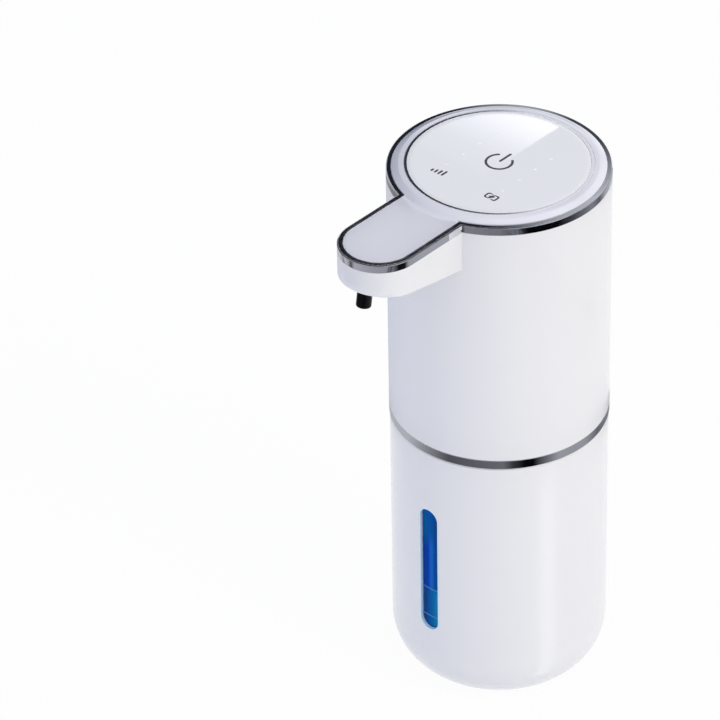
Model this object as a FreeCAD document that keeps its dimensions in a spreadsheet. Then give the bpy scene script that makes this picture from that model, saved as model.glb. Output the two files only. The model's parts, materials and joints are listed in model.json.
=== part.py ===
import FreeCAD, Part
import math
import os

import Sketcher
from FreeCAD import Placement, Rotation, Vector

# Automatic foaming soap dispenser. The origin is the centre of the base, +Z is up, the spout
# points along -Y and the wall side is +Y. Lengths are in millimetres, angles in degrees.

sizes = {
    # outside
    "body_r": 36.5,
    "bottle_height": 101.4,
    "bottle_round_r": 18.4,
    "foot_standoff": 0.5,
    "seam_gap": 0.3,
    "band_height": 3.6,
    "housing_height": 87.8,
    "rim_height": 3.4,
    "disc_rise": 1.3,
    # spout
    "spout_reach": 71.4,
    "spout_half_width": 13.5,
    "spout_tip_depth": 8.73,
    "spout_slope": 9.5,
    "spout_edge_r": 1.8,
    "spout_wall": 2.0,
    # bottle
    "jacket_wall": 2.0,
    "window_width": 7.5,
    "window_low": 29.5,
    "window_length": 49.4,
    "foot_pad_margin": 3.1,
    "foot_recess": 1.0,
    "tank_wall": 1.3,
    "tank_shoulder": 4.0,
    "tank_neck_margin": 8.3,
    "tank_neck_wall": 1.6,
    "tank_neck_length": 14.0,
    # bayonet between the bottle and the chassis
    "lug_depth": 2.0,
    "lug_height": 2.0,
    "lug_turn": 40.0,
    "lug_count": 3,
    "lug_drop": 8.2,
    "lug_pitch": 12.0,
    "ledge_height": 2.0,
    "thread_bite": 0.2,
    "gasket_height": 2.0,
    # upper housing and trim
    "housing_wall": 2.2,
    "flange_height": 2.5,
    "chassis_rise": 6.2,
    "band_upstand": 1.2,
    "rim_face": 1.7,
    "rim_flange_width": 4.0,
    "rim_flange_height": 1.0,
    # top panel
    "panel_margin": 6.8,
    "panel_height": 1.8,
    "panel_ledge": 2.7,
    "panel_plug_height": 1.2,
    "panel_ring_width": 0.8,
    "dome_width": 3.9,
    "led_board_height": 1.2,
    "led_r": 0.5,
    "led_half_pitch_x": 11.75,
    "led_pitch_y": 8.0,
    "led_rows": 4,
    # chassis
    "chassis_height": 2.5,
    "skirt_wall": 1.8,
    "skirt_height": 12.0,
    "cup_wall": 1.3,
    "cup_height": 5.0,
    "chassis_screw_count": 3,
    # fasteners
    "screw_shank_r": 1.1,
    "screw_head_r": 1.8,
    "screw_head_height": 1.5,
    "screw_grip": 2.0,
    # battery
    "cell_r": 9.15,
    "cell_length": 65.0,
    "cell_cap_r": 3.2,
    "cell_cap_height": 0.8,
    "cell_margin": 16.4,
    "cell_bearing": 23.0,
    # boards
    "board_half_width": 17.0,
    "board_thickness": 1.6,
    "board_height": 67.5,
    "rail_height": 20.0,
    "rail_grip": 1.5,
    "rail_width": 3.5,
    "rail_lip": 1.5,
    "chip_side": 8.0,
    "chip_height": 1.2,
    "capacitor_r": 3.0,
    "capacitor_length": 8.0,
    "capacitor_rise": 24.0,
    "header_width": 10.0,
    "header_height": 5.0,
    "header_rise": 16.0,
    # charging port
    "usb_drop": 17.6,
    "usb_width": 9.0,
    "usb_height": 3.2,
    "usb_length": 7.4,
    "usb_shell": 0.3,
    "usb_depth": 6.2,
    "usb_tongue_width": 6.7,
    "usb_tongue_height": 0.7,
    "usb_set_back": 1.3,
    "port_boss_border": 2.3,
    "port_boss_depth": 3.0,
    "plug_width": 14.0,
    "plug_height": 9.0,
    "plug_thickness": 1.4,
    "plug_nose": 1.0,
    "plug_nose_width": 7.8,
    "plug_nose_height": 2.6,
    "anchor_height": 3.0,
    "hinge_bead_r": 0.5,
    "hinge_bead_length": 6.0,
    # pump, stacked on the chassis
    "riser_margin": 17.3,
    "riser_clearance": 5.2,
    "pump_r": 12.5,
    "pump_head_height": 8.0,
    "valve_plate_height": 2.0,
    "diaphragm_height": 1.2,
    "button_count": 3,
    "button_r": 1.8,
    "button_height": 2.0,
    "button_circle_r": 5.5,
    "button_turn": 30.0,
    "pump_case_wall": 3.0,
    "pump_case_height": 16.0,
    "pump_lid_height": 2.0,
    "pump_lid_hole_r": 4.0,
    "pump_screw_r": 0.9,
    "pump_screw_count": 3,
    "pump_screw_base": 2.0,
    "pump_screw_head_r": 1.5,
    "pump_screw_head_height": 1.2,
    "outlet_arm_width": 5.0,
    "outlet_arm_height": 4.0,
    # motor
    "motor_r": 9.2,
    "motor_length": 25.0,
    "motor_shell": 0.8,
    "magnet_thickness": 1.8,
    "magnet_length": 17.0,
    "armature_r": 6.1,
    "armature_length": 15.0,
    "shaft_r": 1.0,
    "endcap_height": 3.0,
    "terminal_width": 2.0,
    "terminal_height": 3.0,
    "terminal_thickness": 0.5,
    # crank and rocker
    "rocker_lift": 3.3,
    "rocker_r": 7.5,
    "rocker_thickness": 1.5,
    "rocker_hub_r": 2.0,
    "rocker_hub_height": 1.8,
    "rocker_tilt": 6.0,
    "rocker_pin_r": 0.75,
    "crank_r": 5.5,
    "crank_height": 6.0,
    "crank_below_lid": 0.7,
    "pin_engagement": 3.0,
    # hoses
    "hose_r": 2.2,
    "hose_bore_r": 1.3,
    "hose_bend_r": 12.0,
    "hose_drop": 3.6,
    "spigot_length": 6.0,
    "spigot_bore_r": 0.7,
    "filter_r": 4.5,
    "filter_wall": 1.0,
    "filter_height": 8.0,
    "filter_stand": 2.0,
    # vent valve in the chassis
    "vent_x": 8.0,
    "vent_y": 15.0,
    "vent_stem_r": 1.0,
    "vent_disc_r": 3.5,
    "vent_disc_height": 0.8,
    "vent_bulb_r": 1.7,
    # nozzle, in the frame of the sloped underside
    "nozzle_set_back": 6.6,
    "nozzle_r": 2.5,
    "nozzle_length": 7.2,
    "nozzle_bore_r": 1.4,
    "nozzle_tip_round": 0.6,
    "nozzle_flange_r": 3.8,
    "nozzle_flange_height": 1.0,
    "holder_r": 4.1,
    "holder_height": 5.4,
    "holder_wall": 1.0,
    "mesh_thickness": 0.4,
    # hand sensor, in the same frame
    "sensor_set_back": 22.4,
    "sensor_width": 12.0,
    "sensor_length": 6.0,
    "sensor_inset": 0.15,
    "sensor_flange": 0.8,
    "sensor_flange_height": 0.8,
    "emitter_r": 1.5,
    "emitter_height": 1.6,
    "emitter_half_pitch": 3.2,
    "sensor_board_height": 1.0,
    # wall plate
    "wall_gap": 2.2,
    "wall_plate_width": 22.0,
    "wall_plate_height": 44.0,
    "wall_plate_low": 118.0,
    "wall_plate_thickness": 3.0,
    "adhesive_thickness": 0.8,
    "cradle_rib": 2.0,
    "hook_width": 12.0,
    "hook_low": 140.7,
    "hook_arm_height": 3.0,
    "hook_lip": 2.2,
    "hook_lip_height": 11.3,
    "hook_slot_travel": 16.9,
    # clearances
    "bond_gap": 0.1,
    "fit_gap": 0.2,
    "moving_gap": 0.3,
    "bayonet_gap": 0.4,
    "running_gap": 0.05,
    "thread_gap": 0.01,
}

doc = FreeCAD.newDocument("SoapDispenser")
sheet = doc.addObject("Spreadsheet::Sheet", "Sizes")
for row, (alias, number) in enumerate(sizes.items(), 1):
    sheet.set(f"A{row}", alias)
    sheet.set(f"B{row}", str(number))
    sheet.setAlias(f"B{row}", alias)
doc.recompute()


# A size carries its value now and the formula that binds it to the sheet.
class Size:
    def __init__(self, value, formula):
        self.value = value
        self.formula = formula

    def __add__(self, other):
        other = as_size(other)
        return Size(self.value + other.value, f"({self.formula} + {other.formula})")

    def __sub__(self, other):
        other = as_size(other)
        return Size(self.value - other.value, f"({self.formula} - {other.formula})")

    def __mul__(self, other):
        other = as_size(other)
        return Size(self.value * other.value, f"({self.formula} * {other.formula})")

    def __truediv__(self, other):
        other = as_size(other)
        return Size(self.value / other.value, f"({self.formula} / {other.formula})")

    def __neg__(self):
        return Size(-self.value, f"(0 - {self.formula})")


class SheetSizes:
    def __getattr__(self, alias):
        return Size(float(sizes[alias]), f"Sizes.{alias}")


def as_size(number):
    return number if isinstance(number, Size) else Size(number, repr(number))


def root(size):
    return Size(math.sqrt(size.value), f"sqrt({size.formula})")


def sine(angle):
    return Size(math.sin(math.radians(angle.value)), f"sin({angle.formula})")


def cosine(angle):
    return Size(math.cos(math.radians(angle.value)), f"cos({angle.formula})")


# Half the width of a circle of this radius, this far from its centre.
def half_chord(radius, distance):
    return root(radius * radius - distance * distance)


d = SheetSizes()
zero = as_size(0)
full_turn = 360
quarter_turn = 90
eighth_turn = 45
sub_parts = []


def keep(thing, node):
    thing.Label = node
    sub_parts.append(thing)
    return thing


def bind(thing, values):
    for prop, size in values.items():
        thing.setExpression(prop, as_size(size).formula)
    return thing


def place(thing, x=zero, y=zero, z=zero, axis=None, angle=None):
    if axis is not None:
        thing.Placement = Placement(Vector(0, 0, 0), Rotation(axis, 1))
        thing.setExpression("Placement.Rotation.Angle", as_size(angle).formula)
    return bind(thing, {"Placement.Base.x": x, "Placement.Base.y": y, "Placement.Base.z": z})


# Part primitives and booleans, bound to the sheet.
def cylinder(name, radius, height, x=zero, y=zero, z=zero, axis=None, angle=None):
    rod = doc.addObject("Part::Cylinder", name)
    bind(rod, {"Radius": radius, "Height": height})
    return place(rod, x, y, z, axis, angle)


def block(name, low, span):
    box = doc.addObject("Part::Box", name)
    bind(box, dict(zip(("Length", "Width", "Height"), span)))
    return place(box, *low)


def cut(name, base, *tools):
    tool = tools[0] if len(tools) == 1 else fuse(f"{name}_tools", *tools)
    result = doc.addObject("Part::Cut", name)
    result.Base = base
    result.Tool = tool
    return result


def fuse(name, *pieces):
    result = doc.addObject("Part::MultiFuse", name)
    result.Shapes = list(pieces)
    return result


def common(name, first, second):
    result = doc.addObject("Part::Common", name)
    result.Base = first
    result.Tool = second
    return result


# Sketches. A corner is (x, y) at the end of a straight edge, or an arc_to at the end of an arc.
def arc_to(x, y, centre_x, centre_y, turn):
    return (x, y, centre_x, centre_y, turn)


def sketch_on(body, plane, lift=None):
    sketch = body.newObject("Sketcher::SketchObject", f"{body.Name}_sketch")
    origin_plane = [f for f in body.Origin.OriginFeatures if f.Role == plane][0]
    sketch.AttachmentSupport = [(origin_plane, "")]
    sketch.MapMode = "FlatFace"
    if lift is not None:
        sketch.setExpression("AttachmentOffset.Base.z", as_size(lift).formula)
    return sketch


def constrain(sketch, kind, where, size, name):
    size = as_size(size)
    index = sketch.addConstraint(Sketcher.Constraint(kind, *where, size.value))
    sketch.renameConstraint(index, name)
    sketch.setExpression(f"Constraints.{name}", size.formula)


def add_edge(sketch, start, corner):
    start_point = Vector(as_size(start[0]).value, as_size(start[1]).value, 0)
    end_point = Vector(as_size(corner[0]).value, as_size(corner[1]).value, 0)
    if len(corner) == 2:
        return sketch.addGeometry(Part.LineSegment(start_point, end_point), False), 1, 2
    centre = Vector(as_size(corner[2]).value, as_size(corner[3]).value, 0)
    turn = corner[4]
    ends = (start_point, end_point) if turn > 0 else (end_point, start_point)
    angles = [math.atan2(p.y - centre.y, p.x - centre.x) for p in ends]
    circle = Part.Circle(centre, Vector(0, 0, 1), (start_point - centre).Length)
    index = sketch.addGeometry(Part.ArcOfCircle(circle, *angles), False)
    return (index, 1, 2) if turn > 0 else (index, 2, 1)


# The centre of an arc between two fixed ends is set by one of its coordinates.
def constrain_centre(sketch, index, start, corner, name):
    across = abs(as_size(corner[0]).value - as_size(start[0]).value)
    along = abs(as_size(corner[1]).value - as_size(start[1]).value)
    kind, size = ("DistanceX", corner[2]) if along > across else ("DistanceY", corner[3])
    constrain(sketch, kind, (-1, 1, index, 3), size, name)


def draw(sketch, corners):
    base = sketch.GeometryCount
    edges = [add_edge(sketch, corners[i - 1], corner) for i, corner in enumerate(corners)]
    for i, (index, _, last) in enumerate(edges):
        following, next_first, _ = edges[(i + 1) % len(edges)]
        sketch.addConstraint(Sketcher.Constraint("Coincident", index, last, following, next_first))
    for i, ((index, _, last), corner) in enumerate(zip(edges, corners)):
        constrain(sketch, "DistanceX", (-1, 1, index, last), corner[0], f"x{base + i}")
        constrain(sketch, "DistanceY", (-1, 1, index, last), corner[1], f"y{base + i}")
    for i, ((index, _, last), corner) in enumerate(zip(edges, corners)):
        if len(corner) > 2:
            constrain_centre(sketch, index, corners[i - 1], corner, f"c{base + i}")
    return sketch


def draw_circle(sketch, x, y, radius):
    x, y, radius = as_size(x), as_size(y), as_size(radius)
    circle = Part.Circle(Vector(x.value, y.value, 0), Vector(0, 0, 1), radius.value)
    index = sketch.addGeometry(circle, False)
    constrain(sketch, "DistanceX", (-1, 1, index, 3), x, f"x{index}")
    constrain(sketch, "DistanceY", (-1, 1, index, 3), y, f"y{index}")
    constrain(sketch, "Radius", (index,), radius, f"radius{index}")
    return sketch


# PartDesign bodies: turned from a half section, or padded from a plan outline.
def new_body(name):
    return doc.addObject("PartDesign::Body", name)


def turned(name, corners):
    body = new_body(name)
    sketch = draw(sketch_on(body, "XZ_Plane"), corners)
    revolution = body.newObject("PartDesign::Revolution", f"{name}_turn")
    revolution.Profile = sketch
    revolution.ReferenceAxis = (sketch, ["V_Axis"])
    revolution.Angle = full_turn
    sketch.Visibility = False
    return body


def turned_tube(name, inner, outer, low, high):
    return turned(name, [(inner, low), (outer, low), (outer, high), (inner, high)])


def pad(body, sketch, height):
    feature = body.newObject("PartDesign::Pad", f"{body.Name}_pad")
    feature.Profile = sketch
    return bind(feature, {"Length": height})


def pocket(body, sketch, depth, upwards=True):
    feature = body.newObject("PartDesign::Pocket", f"{body.Name}_pocket")
    feature.Profile = sketch
    feature.Reversed = upwards
    return bind(feature, {"Length": depth})


def padded(name, outlines, low, height):
    body = new_body(name)
    sketch = sketch_on(body, "XY_Plane", low)
    for corners in outlines:
        draw(sketch, corners)
    pad(body, sketch, height)
    return body


def around(index, count):
    return as_size(full_turn * index) / count


# Levels up the axis, and the radii that neighbouring pieces share.
jacket_low = d.foot_standoff
jacket_top = jacket_low + d.bottle_height
band_low = jacket_top + d.seam_gap
band_top = band_low + d.band_height
rim_low = band_top + d.housing_height
rim_top = rim_low + d.rim_height
panel_top = rim_top + d.disc_rise
chassis_low = band_top + d.chassis_rise
chassis_top = chassis_low + d.chassis_height
housing_inner_r = d.body_r - d.housing_wall
jacket_inner_r = d.body_r - d.jacket_wall
tank_r = jacket_inner_r - d.bond_gap
neck_top = chassis_low - d.gasket_height - d.fit_gap
neck_low = neck_top - d.tank_neck_length
neck_r = housing_inner_r - d.tank_neck_margin
skirt_inner_r = neck_r + d.lug_depth + d.bayonet_gap
skirt_outer_r = skirt_inner_r + d.skirt_wall
chassis_screw_r = (skirt_outer_r + d.moving_gap + housing_inner_r) * 0.5


# Bottle: a white jacket over a clear tank, with a window slot at the front.
foot_pad_r = d.body_r - d.bottle_round_r - d.foot_pad_margin


def cup_profile(outer_r, low, high, wall):
    round_r = d.bottle_round_r - (d.body_r - outer_r)
    flat_r = outer_r - round_r
    return [
        (zero, low),
        (flat_r, low),
        arc_to(outer_r, low + round_r, flat_r, low + round_r, 1),
        (outer_r, high),
        (outer_r - wall, high),
        (outer_r - wall, low + round_r),
        arc_to(flat_r, low + wall, flat_r, low + round_r, -1),
        (zero, low + wall),
    ]


def bottle_jacket():
    body = turned("bottle_jacket", cup_profile(d.body_r, jacket_low, jacket_top, d.jacket_wall))
    recess_r = foot_pad_r + d.bond_gap
    recess = draw_circle(sketch_on(body, "XY_Plane", jacket_low), zero, zero, recess_r)
    pocket(body, recess, d.foot_recess)
    half = d.window_width * 0.5
    low = d.window_low + half
    high = d.window_low + d.window_length - half
    slot = draw(sketch_on(body, "XZ_Plane"), [
        (half, high),
        arc_to(-half, high, zero, high, 1),
        (-half, low),
        arc_to(half, low, zero, low, 1),
    ])
    pocket(body, slot, d.body_r)
    return keep(body, "bottle_jacket")


def foot_pad():
    disc = cylinder("foot_pad", foot_pad_r, d.foot_standoff + d.foot_recess)
    return keep(disc, "foot_pad")


def helix_step(body, sketch, kind, pitch, turn):
    feature = body.newObject(f"PartDesign::{kind}", f"{body.Name}_helix")
    feature.Profile = sketch
    feature.ReferenceAxis = (sketch, ["V_Axis"])
    feature.Mode = "pitch-turns-angle"
    bind(feature, {"Pitch": pitch, "Turns": turn / full_turn})
    return feature


def polar(body, feature, sketch, count):
    pattern = body.newObject("PartDesign::PolarPattern", f"{body.Name}_polar")
    pattern.Originals = [feature]
    pattern.Axis = (sketch, ["V_Axis"])
    pattern.Angle = full_turn
    bind(pattern, {"Occurrences": count})
    body.Tip = pattern
    return pattern


# Three short screw threads, rising as they turn, on the body's wall between the two radii.
def add_threads(body, inner, outer, low, height):
    section = draw(sketch_on(body, "XZ_Plane"), [
        (inner, low),
        (outer, low),
        (outer, low + height),
        (inner, low + height),
    ])
    thread = helix_step(body, section, "AdditiveHelix", d.lug_pitch, d.lug_turn)
    doc.recompute()
    return polar(body, thread, section, d.lug_count)


lug_low = chassis_low - d.lug_drop


def tank_liner():
    low = jacket_low + d.jacket_wall + d.bond_gap
    shoulder_low = neck_low - d.tank_shoulder
    round_r = d.bottle_round_r - (d.body_r - tank_r)
    flat_r = tank_r - round_r
    inner_r = tank_r - d.tank_wall
    neck_inner_r = neck_r - d.tank_neck_wall
    body = turned("tank_liner", [
        (zero, low),
        (flat_r, low),
        arc_to(tank_r, low + round_r, flat_r, low + round_r, 1),
        (tank_r, shoulder_low),
        (neck_r, neck_low),
        (neck_r, neck_top),
        (neck_inner_r, neck_top),
        (neck_inner_r, neck_low - d.tank_wall),
        (inner_r, shoulder_low - d.tank_wall),
        (inner_r, low + round_r),
        arc_to(flat_r, low + d.tank_wall, flat_r, low + round_r, -1),
        (zero, low + d.tank_wall),
    ])
    root_r = neck_r - d.thread_bite
    add_threads(body, root_r, neck_r + d.lug_depth, lug_low, d.lug_height)
    return keep(body, "tank_liner")


def neck_gasket():
    gap = d.fit_gap * 0.5
    inner_r = neck_r - d.tank_neck_wall
    ring = turned_tube("neck_gasket", inner_r, neck_r, neck_top + gap, chassis_low - gap)
    return keep(ring, "neck_gasket")


# Keyhole outline of the top: the cylinder joined to the round-ended spout, inset by a margin.
tip_centre_y = -(d.spout_reach - d.spout_half_width)


def keyhole(inset):
    half = d.spout_half_width - inset
    body_r = d.body_r - inset
    corner_y = -half_chord(body_r, half)
    return [
        (half, corner_y),
        arc_to(-half, corner_y, zero, zero, 1),
        (-half, tip_centre_y),
        arc_to(half, tip_centre_y, zero, tip_centre_y, 1),
    ]


# The spout's sloped underside: its height above the base, this far in front of the axis.
spout_rise = sine(d.spout_slope) / cosine(d.spout_slope)


def underside(reach):
    return rim_low - d.spout_tip_depth - (d.spout_reach - reach) * spout_rise


# The spout as a block from its underside to the rim, inset by a wall on its sides and floor.
def spout_block(name, inset, edge_r=None):
    half = d.spout_half_width - inset
    floor_rise = as_size(inset) / cosine(d.spout_slope)
    low = underside(zero)
    body = padded(name, [[
        (half, zero),
        (-half, zero),
        (-half, tip_centre_y),
        arc_to(half, tip_centre_y, zero, tip_centre_y, 1),
    ]], low, rim_low - low)
    wedge = draw(sketch_on(body, "YZ_Plane"), [
        (zero, low - d.spout_tip_depth),
        (zero, underside(zero) + floor_rise),
        (-d.spout_reach, underside(d.spout_reach) + floor_rise),
        (-d.spout_reach, low - d.spout_tip_depth),
    ])
    under_cut = pocket(body, wedge, d.spout_half_width * 2)
    under_cut.Midplane = True
    if edge_r is None:
        return body
    doc.recompute()
    rounded = body.newObject("PartDesign::Fillet", f"{name}_round")
    rounded.Base = (under_cut, underside_edges(under_cut.Shape))
    return bind(rounded, {"Radius": edge_r}) and body


# The edges round the sloped underside, but for the one inside the cylinder.
def underside_edges(shape):
    names = []
    for index, edge in enumerate(shape.Edges, 1):
        ends = [vertex.Point for vertex in edge.Vertexes]
        heights = [abs(p.z - underside(as_size(-p.y)).value) for p in ends]
        if max(heights) < d.bond_gap.value and min(p.y for p in ends) < tip_centre_y.value / 2:
            names.append(f"Edge{index}")
    return names


# Places a thing square to the underside: along runs back towards the root, depth into the spout.
def place_on_underside(thing, reach, x=zero, along=zero, depth=zero):
    level = cosine(d.spout_slope)
    slant = sine(d.spout_slope)
    y = along * level + depth * slant - reach
    z = underside(reach) + depth * level - along * slant
    return place(thing, x, y, z, Vector(1, 0, 0), -d.spout_slope)


def underside_block(name, reach, width, length, depth, height):
    box = block(name, (zero, zero, zero), (width, length, height))
    return place_on_underside(box, reach, -width * 0.5, -length * 0.5, depth)


def underside_cylinder(name, reach, radius, depth, height, x=zero):
    return place_on_underside(cylinder(name, radius, height), reach, x, zero, depth)


nozzle_reach = d.spout_reach - d.nozzle_set_back
sensor_reach = d.spout_reach - d.sensor_set_back
back_inner_y = half_chord(housing_inner_r, d.hook_width * 0.5)
usb_z = rim_low - d.usb_drop
plug_outer_y = half_chord(d.body_r, d.plug_width * 0.5)
plug_inner_y = plug_outer_y - d.plug_thickness
port_floor_y = plug_inner_y - d.bond_gap
usb_front = port_floor_y - d.usb_set_back
hinge_z = usb_z + d.plug_height * 0.5
hook_top = d.hook_low + d.hook_arm_height


def port_recess(name, margin, low_y, depth):
    half = d.plug_width * 0.5 + margin
    low = usb_z - d.plug_height * 0.5 - margin
    span = d.plug_height + d.fit_gap + d.anchor_height + margin * 2
    return block(name, (-half, low_y, low), (half * 2, depth, span))


def upper_housing():
    outside = cylinder("housing_outside", d.body_r, d.housing_height, z=band_top)
    spout = spout_block("spout_outside", zero, d.spout_edge_r)
    hollow = cylinder("housing_hollow", housing_inner_r, d.housing_height, z=band_top)
    spout_hollow = spout_block("spout_hollow", d.spout_wall)
    shell = cut("housing_shell", fuse("housing_solid", outside, spout), hollow, spout_hollow)
    flange = turned_tube("housing_flange", skirt_outer_r + d.moving_gap,
                         housing_inner_r + d.bond_gap, chassis_low - d.flange_height, chassis_low)
    border = d.port_boss_border
    boss_y = port_floor_y - d.port_boss_depth
    boss = common("port_boss", port_recess("port_boss_block", border, boss_y, d.body_r - boss_y),
                  cylinder("port_boss_limit", housing_inner_r + d.bond_gap, d.housing_height,
                           z=band_top))
    openings = [
        port_recess("port_recess", d.fit_gap, port_floor_y, d.body_r),
        port_hole(),
        hook_opening(),
        nozzle_hole(),
        sensor_hole(),
        *chassis_screw_shanks("flange_pilot", d.screw_shank_r + d.thread_gap),
    ]
    walls = fuse("housing_walls", shell, flange, boss)
    return keep(cut("upper_housing", walls, *openings), "upper_housing")


def port_hole():
    half_x = d.usb_width * 0.5 + d.moving_gap
    half_z = d.usb_height * 0.5 + d.moving_gap
    low = (-half_x, port_floor_y - d.port_boss_depth * 2, usb_z - half_z)
    return block("port_hole", low, (half_x * 2, d.port_boss_depth * 2 + d.plug_thickness, half_z * 2))


def hook_opening():
    half = d.hook_width * 0.5 + d.moving_gap * 2
    top = hook_top + d.moving_gap
    low = top - d.hook_slot_travel - d.hook_arm_height
    return block("hook_opening", (-half, zero, low), (half * 2, d.body_r * 2, top - low))


hole_low = -d.spout_wall
hole_height = d.spout_wall * 2 - hole_low


def nozzle_hole():
    return underside_cylinder("nozzle_hole", nozzle_reach, d.nozzle_r + d.bond_gap, hole_low,
                              hole_height)


def sensor_hole():
    gap = d.bond_gap * 2
    return underside_block("sensor_hole", sensor_reach, d.sensor_width + gap,
                           d.sensor_length + gap, hole_low, hole_height)


# Screws stand on the chassis plate and reach down into the housing's flange.
def chassis_screw_places():
    for index in range(int(sizes["chassis_screw_count"])):
        angle = around(index, d.chassis_screw_count) + quarter_turn
        yield chassis_screw_r * cosine(angle), -chassis_screw_r * sine(angle)


def chassis_screw_shanks(name, radius):
    low = chassis_low - d.screw_grip
    return [
        cylinder(f"{name}_{index}", radius, chassis_top - low, x, y, low)
        for index, (x, y) in enumerate(chassis_screw_places())
    ]


def chassis_screws():
    shanks = chassis_screw_shanks("chassis_screw", d.screw_shank_r)
    heads = [
        cylinder(f"chassis_screw_head_{index}", d.screw_head_r, d.screw_head_height, x, y, chassis_top)
        for index, (x, y) in enumerate(chassis_screw_places())
    ]
    return keep(fuse("chassis_screws", *shanks, *heads), "chassis_screws")


# Trim between the two halves: the band seen at the seam and the upstand that centres it.
def mid_band():
    upstand_r = housing_inner_r - d.bond_gap
    upstand_top = chassis_low - d.flange_height - d.moving_gap
    body = turned("mid_band", [
        (upstand_r - d.band_upstand, band_low),
        (d.body_r, band_low),
        (d.body_r, band_top),
        (upstand_r, band_top),
        (upstand_r, upstand_top),
        (upstand_r - d.band_upstand, upstand_top),
    ])
    return keep(body, "mid_band")


def rim_trim():
    face = padded("rim_face", [keyhole(zero), keyhole(d.rim_face)], rim_low, d.rim_height)
    flange = padded("rim_flange", [keyhole(zero), keyhole(d.rim_flange_width)], rim_low,
                    d.rim_flange_height)
    return keep(fuse("rim_trim", face, flange), "rim_trim")


# Top cover: the keyhole plate, its low dome, and a stepped seat for the touch panel. The dome's
# arc is level where it meets the seat and ends on the plate.
panel_r = d.body_r - d.panel_margin
seat_r = panel_r + d.panel_ring_width + d.bond_gap * 2
seat_low = panel_top - d.panel_height
panel_plug_r = seat_r - d.panel_ledge
dome_arc_r = (d.dome_width * d.dome_width + d.disc_rise * d.disc_rise) / (d.disc_rise * 2)
led_board_top = seat_low - d.panel_plug_height


def top_cover():
    low = rim_low + d.rim_flange_height
    plate = padded("cover_plate", [keyhole(d.rim_face + d.bond_gap)], low, rim_top - low)
    dome_r = seat_r + d.dome_width
    dome = turned("cover_dome", [
        (zero, low),
        (dome_r, low),
        (dome_r, rim_top),
        arc_to(seat_r, panel_top, seat_r, panel_top - dome_arc_r, 1),
        (zero, panel_top),
    ])
    seat = cylinder("cover_seat", seat_r, d.body_r, z=seat_low)
    window = cylinder("cover_window", panel_plug_r + d.bond_gap, d.body_r, z=low - d.body_r * 0.5)
    return keep(cut("top_cover", fuse("cover_solid", plate, dome), seat, window), "top_cover")


def panel_ring():
    inner_r = panel_r + d.bond_gap
    ring = turned_tube("panel_ring", inner_r, inner_r + d.panel_ring_width, seat_low, panel_top)
    return keep(ring, "panel_ring")


def led_places():
    for side in (-1, 1):
        for index in range(int(sizes["led_rows"])):
            step = (d.led_rows - 1) * 0.5 - index
            yield d.led_half_pitch_x * side, d.led_pitch_y * step


def light_pipes(name, radius):
    return [
        cylinder(f"{name}_{index}", radius, panel_top - led_board_top, x, y, led_board_top)
        for index, (x, y) in enumerate(led_places())
    ]


def touch_panel():
    disc = turned("touch_disc", [
        (zero, led_board_top),
        (panel_plug_r, led_board_top),
        (panel_plug_r, seat_low),
        (panel_r, seat_low),
        (panel_r, panel_top),
        (zero, panel_top),
    ])
    holes = light_pipes("touch_hole", d.led_r + d.running_gap)
    return keep(cut("touch_panel", disc, *holes), "touch_panel")


def status_leds():
    return keep(fuse("status_leds", *light_pipes("status_led", d.led_r)), "status_leds")


def led_board():
    low = led_board_top - d.led_board_height
    disc = cylinder("led_board", panel_plug_r - d.panel_ledge * 0.5, d.led_board_height, z=low)
    return keep(disc, "led_board")


# Chassis: a plate with the bayonet skirt below, and cups, rails and spigots for what it carries.
riser_y = housing_inner_r - d.riser_margin
arm_length = d.pump_r + d.riser_clearance
pump_offset = arm_length * cosine(as_size(eighth_turn))
pump_x = -pump_offset
pump_y = pump_offset - riser_y
cell_reach = housing_inner_r - d.cell_margin
cell_x = cell_reach * cosine(d.cell_bearing)
cell_y = cell_reach * sine(d.cell_bearing)
pump_cup_r = d.pump_r + d.fit_gap
cell_cup_r = d.cell_r + d.fit_gap
rail_inner_x = d.board_half_width - d.rail_grip
board_back = usb_front - d.usb_length
board_front = board_back - d.board_thickness


def cup_wall(name, radius, x, y):
    ring = turned_tube(name, radius, radius + d.cup_wall, chassis_top - d.bond_gap,
                       chassis_top + d.cup_height)
    return place(ring, x, y)


# A post at each edge of the main board, slotted so that the board slides down into it.
def board_rail(name, side):
    gap = d.bond_gap
    front = board_front - d.rail_lip - gap
    depth = d.board_thickness + (d.rail_lip + gap) * 2
    inner_x = rail_inner_x if side > 0 else -rail_inner_x - d.rail_width
    post = block(f"{name}_post", (inner_x, front, chassis_top - gap),
                 (d.rail_width, depth, d.rail_height + gap))
    slot_x = rail_inner_x - gap if side > 0 else -d.board_half_width - gap
    slot = block(f"{name}_slot", (slot_x, board_front - gap, chassis_top),
                 (d.rail_grip + gap * 2, d.board_thickness + gap * 2, d.rail_height * 2))
    return cut(name, post, slot)


# The pump head's outlet arm runs at 45 degrees from the pump to the foot of the riser hose.
def outlet_arm(name, gap, low, height):
    arm = block(name, (zero, zero, zero),
                (arm_length, d.outlet_arm_width + gap * 2, height))
    half = (d.outlet_arm_width * 0.5 + gap) * cosine(as_size(eighth_turn))
    return place(arm, pump_x - half, pump_y - half, low, Vector(0, 0, 1), -eighth_turn)


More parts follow.
